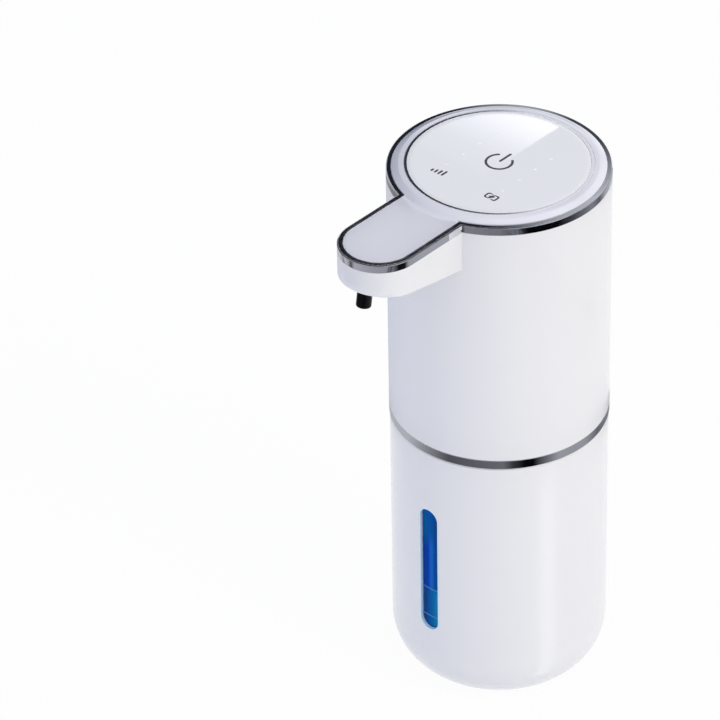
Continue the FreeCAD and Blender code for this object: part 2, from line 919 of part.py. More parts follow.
def chassis():
    plate_r = housing_inner_r - d.fit_gap
    skirt_low = chassis_low - d.skirt_height
    body = turned("chassis_plate", [
        (zero, chassis_low),
        (skirt_inner_r, chassis_low),
        (skirt_inner_r, skirt_low),
        (skirt_outer_r, skirt_low),
        (skirt_outer_r, chassis_low),
        (plate_r, chassis_low),
        (plate_r, chassis_top),
        (zero, chassis_top),
    ])
    ledge_low = lug_low - d.ledge_height - d.moving_gap
    ledge_r = neck_r + d.bayonet_gap
    add_threads(body, ledge_r, skirt_inner_r + d.thread_bite, ledge_low, d.ledge_height)
    spigot = cylinder("inlet_spigot", d.hose_bore_r - d.bond_gap, d.spigot_length + d.bond_gap,
                      pump_x, pump_y, chassis_low - d.spigot_length)
    solid = fuse(
        "chassis_solid",
        body,
        cup_wall("pump_cup", pump_cup_r, pump_x, pump_y),
        cup_wall("cell_cup", cell_cup_r, cell_x, cell_y),
        board_rail("rail_left", -1),
        board_rail("rail_right", 1),
        spigot,
    )
    deep = d.body_r * 0.5
    bore = cylinder("inlet_bore", d.spigot_bore_r, d.body_r, pump_x, pump_y, chassis_top - deep)
    vent = cylinder("vent_bore", d.vent_stem_r + d.running_gap, d.body_r, d.vent_x, -d.vent_y,
                    chassis_top - deep)
    relief = outlet_arm("arm_relief", d.fit_gap, chassis_top + d.bond_gap, d.cup_height)
    holes = chassis_screw_shanks("chassis_hole", d.screw_shank_r + d.bond_gap)
    return keep(cut("chassis", solid, relief, bore, vent, *holes), "chassis")


def vent_valve():
    low = chassis_low - d.vent_disc_height
    body = turned("vent_valve", [
        (zero, low),
        (d.vent_disc_r, low),
        (d.vent_disc_r, chassis_low),
        (d.vent_stem_r, chassis_low),
        (d.vent_stem_r, chassis_top),
        (d.vent_bulb_r, chassis_top),
        (d.vent_stem_r, chassis_top + d.vent_bulb_r),
        (zero, chassis_top + d.vent_bulb_r),
    ])
    return keep(place(body, d.vent_x, -d.vent_y), "vent_valve")


def battery_cell():
    can = cylinder("cell_can", d.cell_r, d.cell_length, cell_x, cell_y, chassis_top)
    cap = cylinder("cell_cap", d.cell_cap_r, d.cell_cap_height, cell_x, cell_y,
                   chassis_top + d.cell_length)
    return keep(fuse("battery_cell", can, cap), "battery_cell")


# Boards and charging port.
def main_board():
    board = block("main_board", (-d.board_half_width, board_front, chassis_top),
                  (d.board_half_width * 2, d.board_thickness, d.board_height))
    return keep(board, "main_board")


# A controller chip, a capacitor and a cable header on the front of the board.
def board_parts():
    side = d.chip_side
    row_z = chassis_top + d.board_height * 0.5
    chip = block("chip", (-side * 0.5, board_front - d.chip_height, row_z),
                 (side, d.chip_height, side))
    capacitor = cylinder("capacitor", d.capacitor_r, d.capacitor_length, zero, board_front,
                         row_z + d.capacitor_rise, Vector(1, 0, 0), quarter_turn)
    header = block("header", (-side - d.header_width * 0.5, board_front - d.header_height,
                              row_z + d.header_rise),
                   (d.header_width, d.header_height, d.header_height))
    return keep(fuse("board_parts", chip, capacitor, header), "board_parts")


def usb_box(name, inset, low_y, depth):
    half_x = d.usb_width * 0.5 - inset
    half_z = d.usb_height * 0.5 - inset
    return block(name, (-half_x, low_y, usb_z - half_z), (half_x * 2, depth, half_z * 2))


def usb_socket():
    depth = usb_front - board_back
    shell = usb_box("usb_shell", zero, board_back, depth)
    hollow = usb_box("usb_hollow", d.usb_shell, usb_front - d.usb_depth, depth)
    tongue = block("usb_tongue",
                   (-d.usb_tongue_width * 0.5, board_back, usb_z - d.usb_tongue_height * 0.5),
                   (d.usb_tongue_width, depth - d.usb_set_back, d.usb_tongue_height))
    return keep(fuse("usb_socket", cut("usb_can", shell, hollow), tongue), "usb_socket")


# The flap over the port swings up about the bead on its top edge, in a groove of the fixed tab.
def hinge_rod(name, radius, length):
    return cylinder(name, radius, length, -length * 0.5, plug_outer_y, hinge_z,
                    Vector(0, 1, 0), quarter_turn)


def port_plug():
    half = d.plug_width * 0.5
    flap = block("port_flap", (-half, plug_inner_y, hinge_z - d.plug_height),
                 (d.plug_width, d.plug_thickness, d.plug_height))
    nose = block("port_nose",
                 (-d.plug_nose_width * 0.5, plug_inner_y - d.plug_nose,
                  usb_z - d.plug_nose_height * 0.5),
                 (d.plug_nose_width, d.plug_thickness + d.plug_nose, d.plug_nose_height))
    bead = hinge_rod("hinge_bead", d.hinge_bead_r, d.hinge_bead_length)
    return keep(fuse("port_plug", flap, nose, bead), "port_plug")


def plug_anchor():
    half = d.plug_width * 0.5
    tab = block("anchor_tab", (-half, port_floor_y, hinge_z + d.fit_gap),
                (d.plug_width, plug_outer_y - port_floor_y, d.anchor_height))
    groove = hinge_rod("anchor_groove", d.hinge_bead_r + d.fit_gap,
                       d.hinge_bead_length + d.fit_gap * 2)
    return keep(cut("plug_anchor", tab, groove), "plug_anchor")


# Pump stack, standing in its cup: head, valve plate, diaphragm, case and lid, then the motor.
valve_low = chassis_top + d.pump_head_height
diaphragm_low = valve_low + d.valve_plate_height
case_low = diaphragm_low + d.diaphragm_height
case_high = case_low + d.pump_case_height
motor_low = case_high + d.pump_lid_height
motor_high = motor_low + d.motor_length
pump_screw_circle_r = d.pump_r - d.pump_case_wall * 0.5
pump_screw_low = chassis_top + d.pump_screw_base


def at_pump(thing):
    return place(thing, pump_x, pump_y)


def around_pump(circle_r, count, first_angle):
    for index in range(int(sizes[count])):
        angle = around(index, getattr(d, count)) + first_angle
        yield pump_x + circle_r * cosine(angle), pump_y + circle_r * sine(angle)


def pump_screw_rods(name, radius, low, height):
    places = around_pump(pump_screw_circle_r, "pump_screw_count", quarter_turn)
    return [
        cylinder(f"{name}_{index}", radius, height, x, y, low)
        for index, (x, y) in enumerate(places)
    ]


def pump_screws():
    shanks = pump_screw_rods("pump_screw", d.pump_screw_r, pump_screw_low,
                             motor_low - pump_screw_low)
    heads = pump_screw_rods("pump_screw_head", d.pump_screw_head_r, motor_low,
                            d.pump_screw_head_height)
    return keep(fuse("pump_screws", *shanks, *heads), "pump_screws")


def drilled(node, solid):
    holes = pump_screw_rods(f"{node}_hole", d.pump_screw_r + d.thread_gap, pump_screw_low,
                            motor_low - pump_screw_low)
    return keep(cut(node, solid, *holes), node)


def pump_head():
    disc = cylinder("pump_head_disc", d.pump_r, d.pump_head_height, pump_x, pump_y, chassis_top)
    arm_low = chassis_top + d.fit_gap
    arm = outlet_arm("outlet_arm", zero, arm_low, d.outlet_arm_height)
    arm_end = cylinder("outlet_end", d.outlet_arm_width * 0.5, d.outlet_arm_height, zero,
                       -riser_y, arm_low)
    spigot = cylinder("outlet_spigot", d.hose_bore_r - d.bond_gap,
                      d.outlet_arm_height + d.spigot_length, zero, -riser_y, arm_low)
    solid = fuse("pump_head_solid", disc, arm, arm_end, spigot)
    inlet = cylinder("pump_inlet", d.spigot_bore_r, d.pump_head_height * 0.5, pump_x, pump_y,
                     chassis_top)
    outlet = cylinder("pump_outlet", d.spigot_bore_r, d.body_r, zero, -riser_y,
                      arm_low + d.outlet_arm_height * 0.5)
    return drilled("pump_head", cut("pump_head_bored", solid, inlet, outlet))


def valve_plate():
    disc = cylinder("valve_disc", d.pump_r, d.valve_plate_height, pump_x, pump_y, valve_low)
    return drilled("valve_plate", disc)


def diaphragm():
    disc = cylinder("diaphragm_disc", d.pump_r, d.diaphragm_height, pump_x, pump_y, diaphragm_low)
    buttons = [
        cylinder(f"button_{index}", d.button_r, d.button_height, x, y, case_low)
        for index, (x, y) in enumerate(around_pump(d.button_circle_r, "button_count", d.button_turn))
    ]
    return drilled("diaphragm", fuse("diaphragm_solid", disc, *buttons))


def pump_case():
    inner_r = d.pump_r - d.pump_case_wall
    shell = turned("pump_case_shell", [
        (inner_r, case_low),
        (d.pump_r, case_low),
        (d.pump_r, motor_low),
        (d.pump_lid_hole_r, motor_low),
        (d.pump_lid_hole_r, case_high),
        (inner_r, case_high),
    ])
    return drilled("pump_case", at_pump(shell))


def motor_case():
    bore_r = d.shaft_r + d.running_gap
    shell = turned("motor_case", [
        (bore_r, motor_low),
        (d.motor_r, motor_low),
        (d.motor_r, motor_high),
        (d.motor_r - d.motor_shell, motor_high),
        (d.motor_r - d.motor_shell, motor_low + d.motor_shell),
        (bore_r, motor_low + d.motor_shell),
    ])
    return keep(at_pump(shell), "motor_case")


magnet_middle = motor_low + d.motor_length * 0.5


def motor_magnets():
    outer_r = d.motor_r - d.motor_shell - d.running_gap
    half = d.magnet_length * 0.5
    ring = turned_tube("motor_magnets", outer_r - d.magnet_thickness, outer_r,
                       magnet_middle - half, magnet_middle + half)
    return keep(at_pump(ring), "motor_magnets")


def motor_endcap():
    cap = turned_tube("endcap_disc", d.shaft_r + d.running_gap, d.motor_r, motor_high,
                      motor_high + d.endcap_height)
    terminals = [
        block(f"terminal_{side}",
              (pump_x + d.motor_r * 0.5 * side, pump_y, motor_high + d.endcap_height * 0.5),
              (d.terminal_thickness, d.terminal_width,
               d.endcap_height * 0.5 + d.terminal_height))
        for side in (-1, 1)
    ]
    return keep(fuse("motor_endcap", at_pump(cap), *terminals), "motor_endcap")


# Rotor: armature and crank wheel on the motor shaft.
pivot_z = case_low + d.rocker_lift + d.rocker_thickness * 0.5
crank_high = case_high - d.crank_below_lid
crank_low = crank_high - d.crank_height
pin_top = crank_low + d.pin_engagement
shaft_low = pin_top + d.fit_gap


def motor_shaft():
    shaft_high = motor_high + d.endcap_height - d.moving_gap
    shaft = cylinder("motor_shaft", d.shaft_r, shaft_high - shaft_low, pump_x, pump_y, shaft_low)
    return keep(shaft, "motor_shaft")


def motor_armature():
    half = d.armature_length * 0.5
    core = turned_tube("motor_armature", d.shaft_r, d.armature_r, magnet_middle - half,
                       magnet_middle + half)
    return keep(at_pump(core), "motor_armature")


def at_pivot(thing):
    return place(thing, pump_x, pump_y, pivot_z, Vector(0, 1, 0), d.rocker_tilt)


def crank_wheel():
    wheel = turned("crank_blank", [
        (zero, crank_low),
        (d.crank_r, crank_low),
        (d.crank_r, crank_high),
        (d.shaft_r, crank_high),
        (d.shaft_r, shaft_low),
        (zero, shaft_low),
    ])
    pin_bore = cylinder("pin_bore", d.rocker_pin_r + d.running_gap, pin_top + d.bond_gap - pivot_z)
    return keep(cut("crank_wheel", at_pump(wheel), at_pivot(pin_bore)), "crank_wheel")


# Rocker: the plate wobbles about the tilted pin that the crank wheel carries round.
def rocker_plate():
    half = d.rocker_thickness * 0.5
    plate = turned("rocker_plate", [
        (d.rocker_pin_r, -half),
        (d.rocker_r, -half),
        (d.rocker_r, half),
        (d.rocker_hub_r, half),
        (d.rocker_hub_r, half + d.rocker_hub_height),
        (d.rocker_pin_r, half + d.rocker_hub_height),
    ])
    return keep(at_pivot(plate), "rocker_plate")


def rocker_pin():
    low = -d.rocker_thickness * 0.5
    pin = turned("rocker_pin", [
        (zero, low),
        (d.rocker_pin_r, low),
        (d.rocker_pin_r, pin_top - pivot_z),
        (zero, pin_top - pivot_z),
    ])
    return keep(at_pivot(pin), "rocker_pin")


# Hoses: the dip tube down into the tank, and the foam hose up and along the spout.
tank_floor = jacket_low + d.jacket_wall + d.bond_gap + d.tank_wall
filter_low = tank_floor + d.filter_stand
hose_z = rim_low - d.hose_drop
riser_low = chassis_top + d.fit_gap + d.outlet_arm_height
hose_lean = (hose_z + d.hose_r - underside(nozzle_reach)) * spout_rise
holder_back_reach = nozzle_reach - d.holder_r / cosine(d.spout_slope) - hose_lean - d.fit_gap


def dip_tube():
    low = filter_low + d.filter_height * 0.5
    tube = turned_tube("dip_tube", d.hose_bore_r, d.hose_r, low, chassis_low)
    return keep(at_pump(tube), "dip_tube")


def inlet_filter():
    tube_low = filter_low + d.filter_height * 0.5
    inner_r = d.filter_r - d.filter_wall
    cup = turned("inlet_filter", [
        (zero, filter_low),
        (d.filter_r, filter_low),
        (d.filter_r, filter_low + d.filter_height),
        (d.hose_r + d.running_gap, filter_low + d.filter_height),
        (d.hose_r + d.running_gap, tube_low),
        (inner_r, tube_low - d.filter_wall),
        (inner_r, filter_low + d.filter_wall),
        (zero, filter_low + d.filter_wall),
    ])
    return keep(at_pump(cup), "inlet_filter")


# One round run up the riser, through a quarter bend, and forward to the nozzle holder.
def hose_run(name, radius):
    bend_r = d.hose_bend_r
    bend_z = hose_z - bend_r
    riser = cylinder(f"{name}_riser", radius, bend_z - riser_low, zero, -riser_y, riser_low)
    bend = doc.addObject("Part::Torus", f"{name}_bend")
    bind(bend, {"Radius1": bend_r, "Radius2": radius})
    bend.Angle3 = quarter_turn
    turn = Rotation(Vector(0, 1, 0), Vector(0, 0, 1), Vector(1, 0, 0), "XYZ")
    bend.Placement = Placement(Vector(0, 0, 0), turn)
    bind(bend, {"Placement.Base.y": -riser_y - bend_r, "Placement.Base.z": bend_z})
    reach = holder_back_reach - riser_y - bend_r
    runner = cylinder(f"{name}_runner", radius, reach, zero, -riser_y - bend_r, hose_z,
                      Vector(1, 0, 0), quarter_turn)
    return fuse(name, riser, bend, runner)


def foam_tube():
    outside = hose_run("hose_outside", d.hose_r)
    return keep(cut("foam_tube", outside, hose_run("hose_inside", d.hose_bore_r)), "foam_tube")


# Nozzle, square to the sloped underside, and the foam chamber that clamps it from inside.
holder_low = d.spout_wall + d.nozzle_flange_height


def nozzle():
    round_r = d.nozzle_tip_round
    body = turned("nozzle", [
        (d.nozzle_bore_r, -d.nozzle_length),
        (d.nozzle_r - round_r, -d.nozzle_length),
        arc_to(d.nozzle_r, round_r - d.nozzle_length, d.nozzle_r - round_r,
               round_r - d.nozzle_length, 1),
        (d.nozzle_r, d.spout_wall),
        (d.nozzle_flange_r, d.spout_wall),
        (d.nozzle_flange_r, holder_low),
        (d.nozzle_bore_r, holder_low),
    ])
    return keep(place_on_underside(body, nozzle_reach), "nozzle")


holder_inner_r = d.holder_r - d.holder_wall


def nozzle_holder():
    high = holder_low + d.holder_height
    cup = turned("holder_cup", [
        (holder_inner_r, holder_low),
        (d.holder_r, holder_low),
        (d.holder_r, high),
        (zero, high),
        (zero, high - d.holder_wall),
        (holder_inner_r, high - d.holder_wall),
    ])
    inlet_reach = nozzle_reach - d.holder_r - d.spigot_length
    spigot = cylinder("holder_spigot", d.hose_bore_r - d.bond_gap,
                      d.spigot_length + d.holder_wall, zero, -inlet_reach, hose_z,
                      Vector(1, 0, 0), quarter_turn)
    bore = cylinder("holder_bore", d.spigot_bore_r, d.spigot_length + d.holder_r, zero,
                    -inlet_reach, hose_z, Vector(1, 0, 0), quarter_turn)
    solid = fuse("holder_solid", place_on_underside(cup, nozzle_reach), spigot)
    return keep(cut("nozzle_holder", solid, bore), "nozzle_holder")


# Two foaming screens inside the holder, the first of them on the nozzle's flange.
def nozzle_mesh():
    radius = holder_inner_r - d.running_gap
    step = d.mesh_thickness
    spacer_low = holder_low + step
    upper_low = spacer_low + step
    lower = underside_cylinder("lower_screen", nozzle_reach, radius, holder_low, step)
    upper = underside_cylinder("upper_screen", nozzle_reach, radius, upper_low, step)
    spacer = turned_tube("mesh_spacer", d.nozzle_bore_r, radius, spacer_low, upper_low)
    place_on_underside(spacer, nozzle_reach)
    return keep(fuse("nozzle_mesh", lower, upper, spacer), "nozzle_mesh")


# Hand sensor: a dark window in the underside with an emitter pair and its board behind it.
sensor_back = d.spout_wall + d.sensor_flange_height


def sensor_window():
    pane = underside_block("sensor_pane", sensor_reach, d.sensor_width, d.sensor_length,
                           d.sensor_inset, d.spout_wall)
    flange = underside_block("sensor_rim", sensor_reach, d.sensor_width + d.sensor_flange * 2,
                             d.sensor_length + d.sensor_flange * 2, d.spout_wall,
                             d.sensor_flange_height)
    return keep(fuse("sensor_window", pane, flange), "sensor_window")


def ir_pair():
    lamps = [
        underside_cylinder(f"emitter_{side}", sensor_reach, d.emitter_r, sensor_back,
                           d.emitter_height, d.emitter_half_pitch * side)
        for side in (-1, 1)
    ]
    return keep(fuse("ir_pair", *lamps), "ir_pair")


def sensor_board():
    board = underside_block("sensor_board", sensor_reach, d.sensor_width + d.sensor_flange * 2,
                            d.sensor_length + d.sensor_flange * 2,
                            sensor_back + d.emitter_height, d.sensor_board_height)
    return keep(board, "sensor_board")


# Wall plate: its hook passes through the opening in the housing and stands behind the wall.
plate_front = d.body_r + d.wall_gap


def wall_plate():
    half = d.wall_plate_width * 0.5
    plate = block("plate_blank", (-half, plate_front, d.wall_plate_low),
                  (d.wall_plate_width, d.wall_plate_thickness, d.wall_plate_height))
    lip_y = back_inner_y - d.bayonet_gap - d.hook_lip
    hook_half = d.hook_width * 0.5
    arm = block("hook_arm", (-hook_half, lip_y, d.hook_low),
                (d.hook_width, plate_front - lip_y, d.hook_arm_height))
    lip = block("hook_lip", (-hook_half, lip_y, d.hook_low),
                (d.hook_width, d.hook_lip, d.hook_lip_height))
    cradle = block("cradle", (-half, back_inner_y, d.wall_plate_low),
                   (d.wall_plate_width, plate_front - back_inner_y, d.wall_plate_height))
    trough = block("cradle_trough", (-half + d.cradle_rib, zero, zero),
                   ((half - d.cradle_rib) * 2, plate_front, rim_top))
    clear = cylinder("cradle_clear", d.body_r + d.moving_gap, rim_top)
    ribs = cut("cradle_ribs", cradle, trough, clear)
    return keep(fuse("wall_plate", plate, arm, lip, ribs), "wall_plate")


def adhesive_pad():
    pad_y = plate_front + d.wall_plate_thickness
    strip = block("adhesive_pad", (-d.wall_plate_width * 0.5, pad_y, d.wall_plate_low),
                  (d.wall_plate_width, d.adhesive_thickness, d.wall_plate_height))
    return keep(strip, "adhesive_pad")


bottle_jacket()
tank_liner()
foot_pad()
neck_gasket()
upper_housing()
mid_band()
rim_trim()
top_cover()
panel_ring()
touch_panel()
status_leds()
led_board()
chassis()
chassis_screws()
vent_valve()
battery_cell()
main_board()
board_parts()
usb_socket()
port_plug()
plug_anchor()
pump_head()
valve_plate()
diaphragm()
pump_case()
pump_screws()
motor_case()
motor_magnets()
motor_endcap()
motor_shaft()
motor_armature()
crank_wheel()
rocker_plate()
rocker_pin()
dip_tube()
inlet_filter()
foam_tube()
nozzle()
nozzle_holder()
nozzle_mesh()
sensor_window()
ir_pair()
sensor_board()
wall_plate()
adhesive_pad()
doc.recompute()

failed = [thing.Name for thing in doc.Objects if {"Invalid", "Error"} & set(thing.State)]
broken = [thing.Label for thing in sub_parts if thing.Shape.isNull() or not thing.Shape.isValid()]
if failed or broken:
    raise RuntimeError(f"failed objects {failed}, broken shapes {broken}")

os.makedirs("parts", exist_ok=True)
for thing in sub_parts:
    thing.Shape.exportStep(f"parts/{thing.Label}.step")
    solids = len(thing.Shape.Solids)
    print(f"{thing.Label}: {solids} solid(s), {thing.Shape.Volume:.1f} mm3")
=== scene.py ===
import json
import math

import bmesh
import bpy
import numpy as np
from mathutils import Matrix, Vector


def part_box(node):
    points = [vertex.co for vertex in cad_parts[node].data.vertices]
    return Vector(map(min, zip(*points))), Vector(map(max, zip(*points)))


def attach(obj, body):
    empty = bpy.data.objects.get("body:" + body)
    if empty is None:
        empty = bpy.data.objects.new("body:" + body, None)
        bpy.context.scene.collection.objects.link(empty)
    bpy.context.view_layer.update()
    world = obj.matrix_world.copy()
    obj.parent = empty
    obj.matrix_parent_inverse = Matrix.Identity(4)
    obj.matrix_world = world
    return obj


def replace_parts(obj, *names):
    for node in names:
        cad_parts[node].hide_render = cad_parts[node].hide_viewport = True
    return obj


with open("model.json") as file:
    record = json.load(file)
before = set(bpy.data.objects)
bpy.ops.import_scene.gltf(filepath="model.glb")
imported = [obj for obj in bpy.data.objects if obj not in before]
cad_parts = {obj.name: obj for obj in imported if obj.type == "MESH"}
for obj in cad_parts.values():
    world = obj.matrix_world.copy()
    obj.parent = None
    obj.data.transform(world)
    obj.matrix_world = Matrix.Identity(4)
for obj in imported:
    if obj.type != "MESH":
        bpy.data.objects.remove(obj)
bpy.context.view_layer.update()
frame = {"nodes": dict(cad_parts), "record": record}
mm = 0.001
up = np.array([0.0, 0.0, 1.0])
print("frame loaded", len(frame["nodes"]), "nodes")


def linear(hexColor):
    # sRGB to linear: a channel under 0.04045 is divided by 12.92, above it ((s + 0.055) / 1.055) ^ 2.4
    s = np.array([int(hexColor[i:i + 2], 16) for i in (1, 3, 5)]) / 255
    return (*np.where(s < 0.04045, s / 12.92, ((s + 0.055) / 1.055) ** 2.4), 1.0)


def addNode(tree, kind, inputs=None, stops=(), **settings):
    # one node with its settings and links; an input is a value or another node's socket, and the stops
    # of a colour ramp are (place, sRGB hex)
    node = tree.nodes.new("ShaderNode" + kind)
    for name, value in settings.items():
        setattr(node, name, value)
    for name, value in (inputs or {}).items():
        if isinstance(value, bpy.types.NodeSocket):
            tree.links.new(value, node.inputs[name])
        else:
            node.inputs[name].default_value = value
    for i, (at, shade) in enumerate(stops):
        stop = node.color_ramp.elements[i] if i < 2 else node.color_ramp.elements.new(at)
        stop.position = at
        stop.color = linear(shade)
    return node


def surface(x, y, z):
    # a grid of points: x, y and z are each spread over the whole grid, then joined
    return np.stack(np.broadcast_arrays(x, y, z), -1)


def atHeight(outline, z):
    # a flat (x, y) outline at a height
    return surface(outline[:, 0], outline[:, 1], z)


def gridFaces(rows, cols, loopRows=False, loopCols=False):
    # the quads between neighbours of a rows x cols grid, numbered row by row: corner = row * cols + col
    r = np.arange(rows if loopRows else rows - 1)[:, None]
    c = np.arange(cols if loopCols else cols - 1)[None, :]
    r2 = (r + 1) % rows
    c2 = (c + 1) % cols
    return np.stack([r * cols + c, r * cols + c2, r2 * cols + c2, r2 * cols + c], -1).reshape(-1, 4)


def roundedPath(corners, steps=6, closed=True, hold=0.03 * mm):
    # straight runs between corners (a, b, radius), each corner swapped for an arc of its radius, with one
    # more point just outside each end of the arc, so that the shading stays flat on the runs. The arc
    # starts radius / tan(half angle) from its corner, and is centre + start cos t + side sin t
    pts = np.array([c[:2] for c in corners], float)
    before = np.roll(pts, 1, 0)
    after = np.roll(pts, -1, 0)
    path = []
    for i, corner in enumerate(corners):
        radius = corner[2]
        if radius == 0 or (not closed and i in (0, len(corners) - 1)):
            path.append(pts[i:i + 1])
            continue
        u = (before[i] - pts[i]) / np.linalg.norm(before[i] - pts[i])
        v = (after[i] - pts[i]) / np.linalg.norm(after[i] - pts[i])
        half = math.acos(max(-1.0, min(1.0, float(u @ v)))) / 2
        reach = radius / math.tan(half)
        bisector = (u + v) / np.linalg.norm(u + v)
        centre = pts[i] + bisector * radius / math.sin(half)
        first = pts[i] + u * reach - centre
        last = pts[i] + v * reach - centre
        sweep = math.atan2(first[0] * last[1] - first[1] * last[0], float(first @ last))
        t = np.linspace(0, sweep, steps)[:, None]
        side = np.array([-first[1], first[0]])
        arc = centre + first * np.cos(t) + side * np.sin(t)
        path += [pts[i:i + 1] + u * (reach + hold), arc, pts[i:i + 1] + v * (reach + hold)]
    return np.concatenate(path)


def lathe(path, count=180, centre=(0.0, 0.0), loop=True):
    # a (radius, height) path turned once round a vertical axis, x = r sin a, y = -r cos a; a closed path
    # makes a ring or a cup
    angle = np.arange(count) * 2 * math.pi / count
    r = path[:, :1]
    points = surface(centre[0] + r * np.sin(angle), centre[1] - r * np.cos(angle), path[:, 1:])
    return points.reshape(-1, 3), gridFaces(len(path), count, loopRows=loop, loopCols=True)


def joined(*parts):
    # several (points, faces) as one, each part's faces counted on from the last part's points
    points, faces, start = [], [], 0
    for p, f in parts:
        points.append(p.reshape(-1, 3))
        faces += [[corner + start for corner in face] for face in (f if isinstance(f, list) else f.tolist())]
        start += len(points[-1])
    return np.concatenate(points), faces


def closedTube(rings):
    # rings of points joined to a tube, its first and its last ring closed by one face each
    count, n = rings.shape[:2]
    ends = [list(range(n))[::-1], list(range(n * (count - 1), n * count))]
    return rings.reshape(-1, 3), gridFaces(count, n, loopCols=True).tolist() + ends


def slab(outline, low, high):
    # a flat outline as a plate between two heights
    return closedTube(np.stack([atHeight(outline, low), atHeight(outline, high)]))


def makeMesh(name, points, faces, weld=1e-6):
    # a mesh with points nearer than the weld distance merged, and all its faces turned outwards
    mesh = bpy.data.meshes.new(name)
    mesh.from_pydata(points.reshape(-1, 3).tolist(), [], faces if isinstance(faces, list) else faces.tolist())
    bm = bmesh.new()
    bm.from_mesh(mesh)
    bmesh.ops.remove_doubles(bm, verts=bm.verts, dist=weld)
    bmesh.ops.dissolve_degenerate(bm, edges=bm.edges, dist=weld)
    bmesh.ops.recalc_face_normals(bm, faces=bm.faces)
    bm.to_mesh(mesh)
    bm.free()
    return mesh


def makeObject(name, mesh):
    # an object at the origin, its place in its mesh
    thing = bpy.data.objects.new(name, mesh)
    bpy.context.scene.collection.objects.link(thing)
    return thing


# the body that each node moves with, and the record's slot for its finish
bodyOf = {n: b for b, members in frame["record"]["behaviour"]["bodies"].items() for n in members}
slotOf = {s["node"]: s["material_slot"] for s in frame["record"]["subparts"]}


def dress(thing, nodes, material, angle=32):
    # gives a piece its material, its body and smooth shading, sharp where faces meet at over the angle
    thing.data.shade_smooth()
    thing.data.set_sharp_from_angle(angle=math.radians(angle))
    thing.data.materials.clear()
    thing.data.materials.append(material)
    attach(thing, bodyOf[nodes[0]])
    return thing


def part(name, shape, nodes, material, angle=32, weld=1e-6):
    # a dressed piece from a shape's (points, faces)
    return dress(makeObject(name, makeMesh(name, *shape, weld)), nodes, material, angle)


def piece(name, shape, nodes, material, angle=32, weld=1e-6):
    # a dressed piece that stands for its nodes
    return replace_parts(part(name, shape, nodes, material, angle, weld), *nodes)


def cutBy(thing, cutters, operation="DIFFERENCE"):
    # carves (or joins) each cutter in turn and keeps the plain mesh
    for i, shape in enumerate(cutters):
        cutter = makeObject(f"cutter{i}", makeMesh(f"cutter{i}", *shape))
        step = thing.modifiers.new(f"cut{i}", "BOOLEAN")
        step.operation = operation
        step.solver = "EXACT"
        step.object = cutter
        bpy.context.view_layer.update()
        result = bpy.data.meshes.new_from_object(thing.evaluated_get(bpy.context.evaluated_depsgraph_get()))
        thing.modifiers.clear()
        thing.data = result
        bpy.data.objects.remove(cutter)
    return thing


def newMaterial(name):
    # an empty node material and its tree
    made = bpy.data.materials.new(name)
    made.use_nodes = True
    made.node_tree.nodes.clear()
    return made, made.node_tree


def grainBump(tree, grain, depth, detail=2.0):
    # a noise height field; grain is the size of one bump in metres, depth its height
    place = addNode(tree, "TexCoord")
    noise = addNode(tree, "TexNoise", {
        "Vector": place.outputs["Object"], "Scale": 1 / grain, "Detail": detail})
    bump = addNode(tree, "Bump", {"Height": noise.outputs["Fac"], "Strength": 1.0, "Distance": depth})
    return place, noise, bump


mould = {"cloud": 14 * mm, "spread": 0.15}
plating = {"detail": 3.0, "spread": 0.3}


def mouldedPlastic(name, color, shade, roughness, grain, depth, coat=0.0, ior=1.5, alpha=1.0,
                   coatRough=0.05):
    # moulded plastic: two near colours mixed by wide clouds, its gloss broken by the mould grain, with
    # roughness times 1 - spread to 1 + spread along the same noise as the bump
    made, tree = newMaterial(name)
    place, noise, bump = grainBump(tree, grain, depth)
    cloud = addNode(tree, "TexNoise", {
        "Vector": place.outputs["Object"], "Scale": 1 / mould["cloud"], "Detail": 1.0})
    blend = addNode(tree, "Mix", {
        "Factor": cloud.outputs["Fac"], "A": linear(color), "B": linear(shade)}, data_type="RGBA")
    rough = addNode(tree, "MapRange", {
        "Value": noise.outputs["Fac"], "To Min": roughness * (1 - mould["spread"]),
        "To Max": roughness * (1 + mould["spread"])})
    shader = addNode(tree, "BsdfPrincipled", {
        "Base Color": blend.outputs["Result"], "Roughness": rough.outputs["Result"], "IOR": ior,
        "Coat Weight": coat, "Coat Roughness": coatRough, "Alpha": alpha, "Normal": bump.outputs["Normal"]})
    addNode(tree, "OutputMaterial", {"Surface": shader.outputs["BSDF"]})
    return made


def platedMetal(name, color, roughness, grain, depth, stretch=(1, 1, 1)):
    # bare or plated metal: full reflection, its haze and bump from one noise, stretched where it is turned
    made, tree = newMaterial(name)
    place = addNode(tree, "TexCoord")
    along = addNode(tree, "Mapping", {"Vector": place.outputs["Object"], "Scale": stretch})
    noise = addNode(tree, "TexNoise", {
        "Vector": along.outputs["Vector"], "Scale": 1 / grain, "Detail": plating["detail"]})
    rough = addNode(tree, "MapRange", {
        "Value": noise.outputs["Fac"], "To Min": roughness * (1 - plating["spread"]),
        "To Max": roughness * (1 + plating["spread"])})
    bump = addNode(tree, "Bump", {"Height": noise.outputs["Fac"], "Strength": 1.0, "Distance": depth})
    shader = addNode(tree, "BsdfPrincipled", {
        "Base Color": linear(color), "Metallic": 1.0, "Roughness": rough.outputs["Result"],
        "Normal": bump.outputs["Normal"]})
    addNode(tree, "OutputMaterial", {"Surface": shader.outputs["BSDF"]})
    return made


# ABS, injection moulded and polished: milky white, clear soft reflections, the least orange peel
shellAbs = mouldedPlastic("glossyWhiteMouldedAbs", "#E8EAEF", "#E6E8EE", 0.20, 1.6 * mm, 0.0006 * mm,
                          coat=0.25)
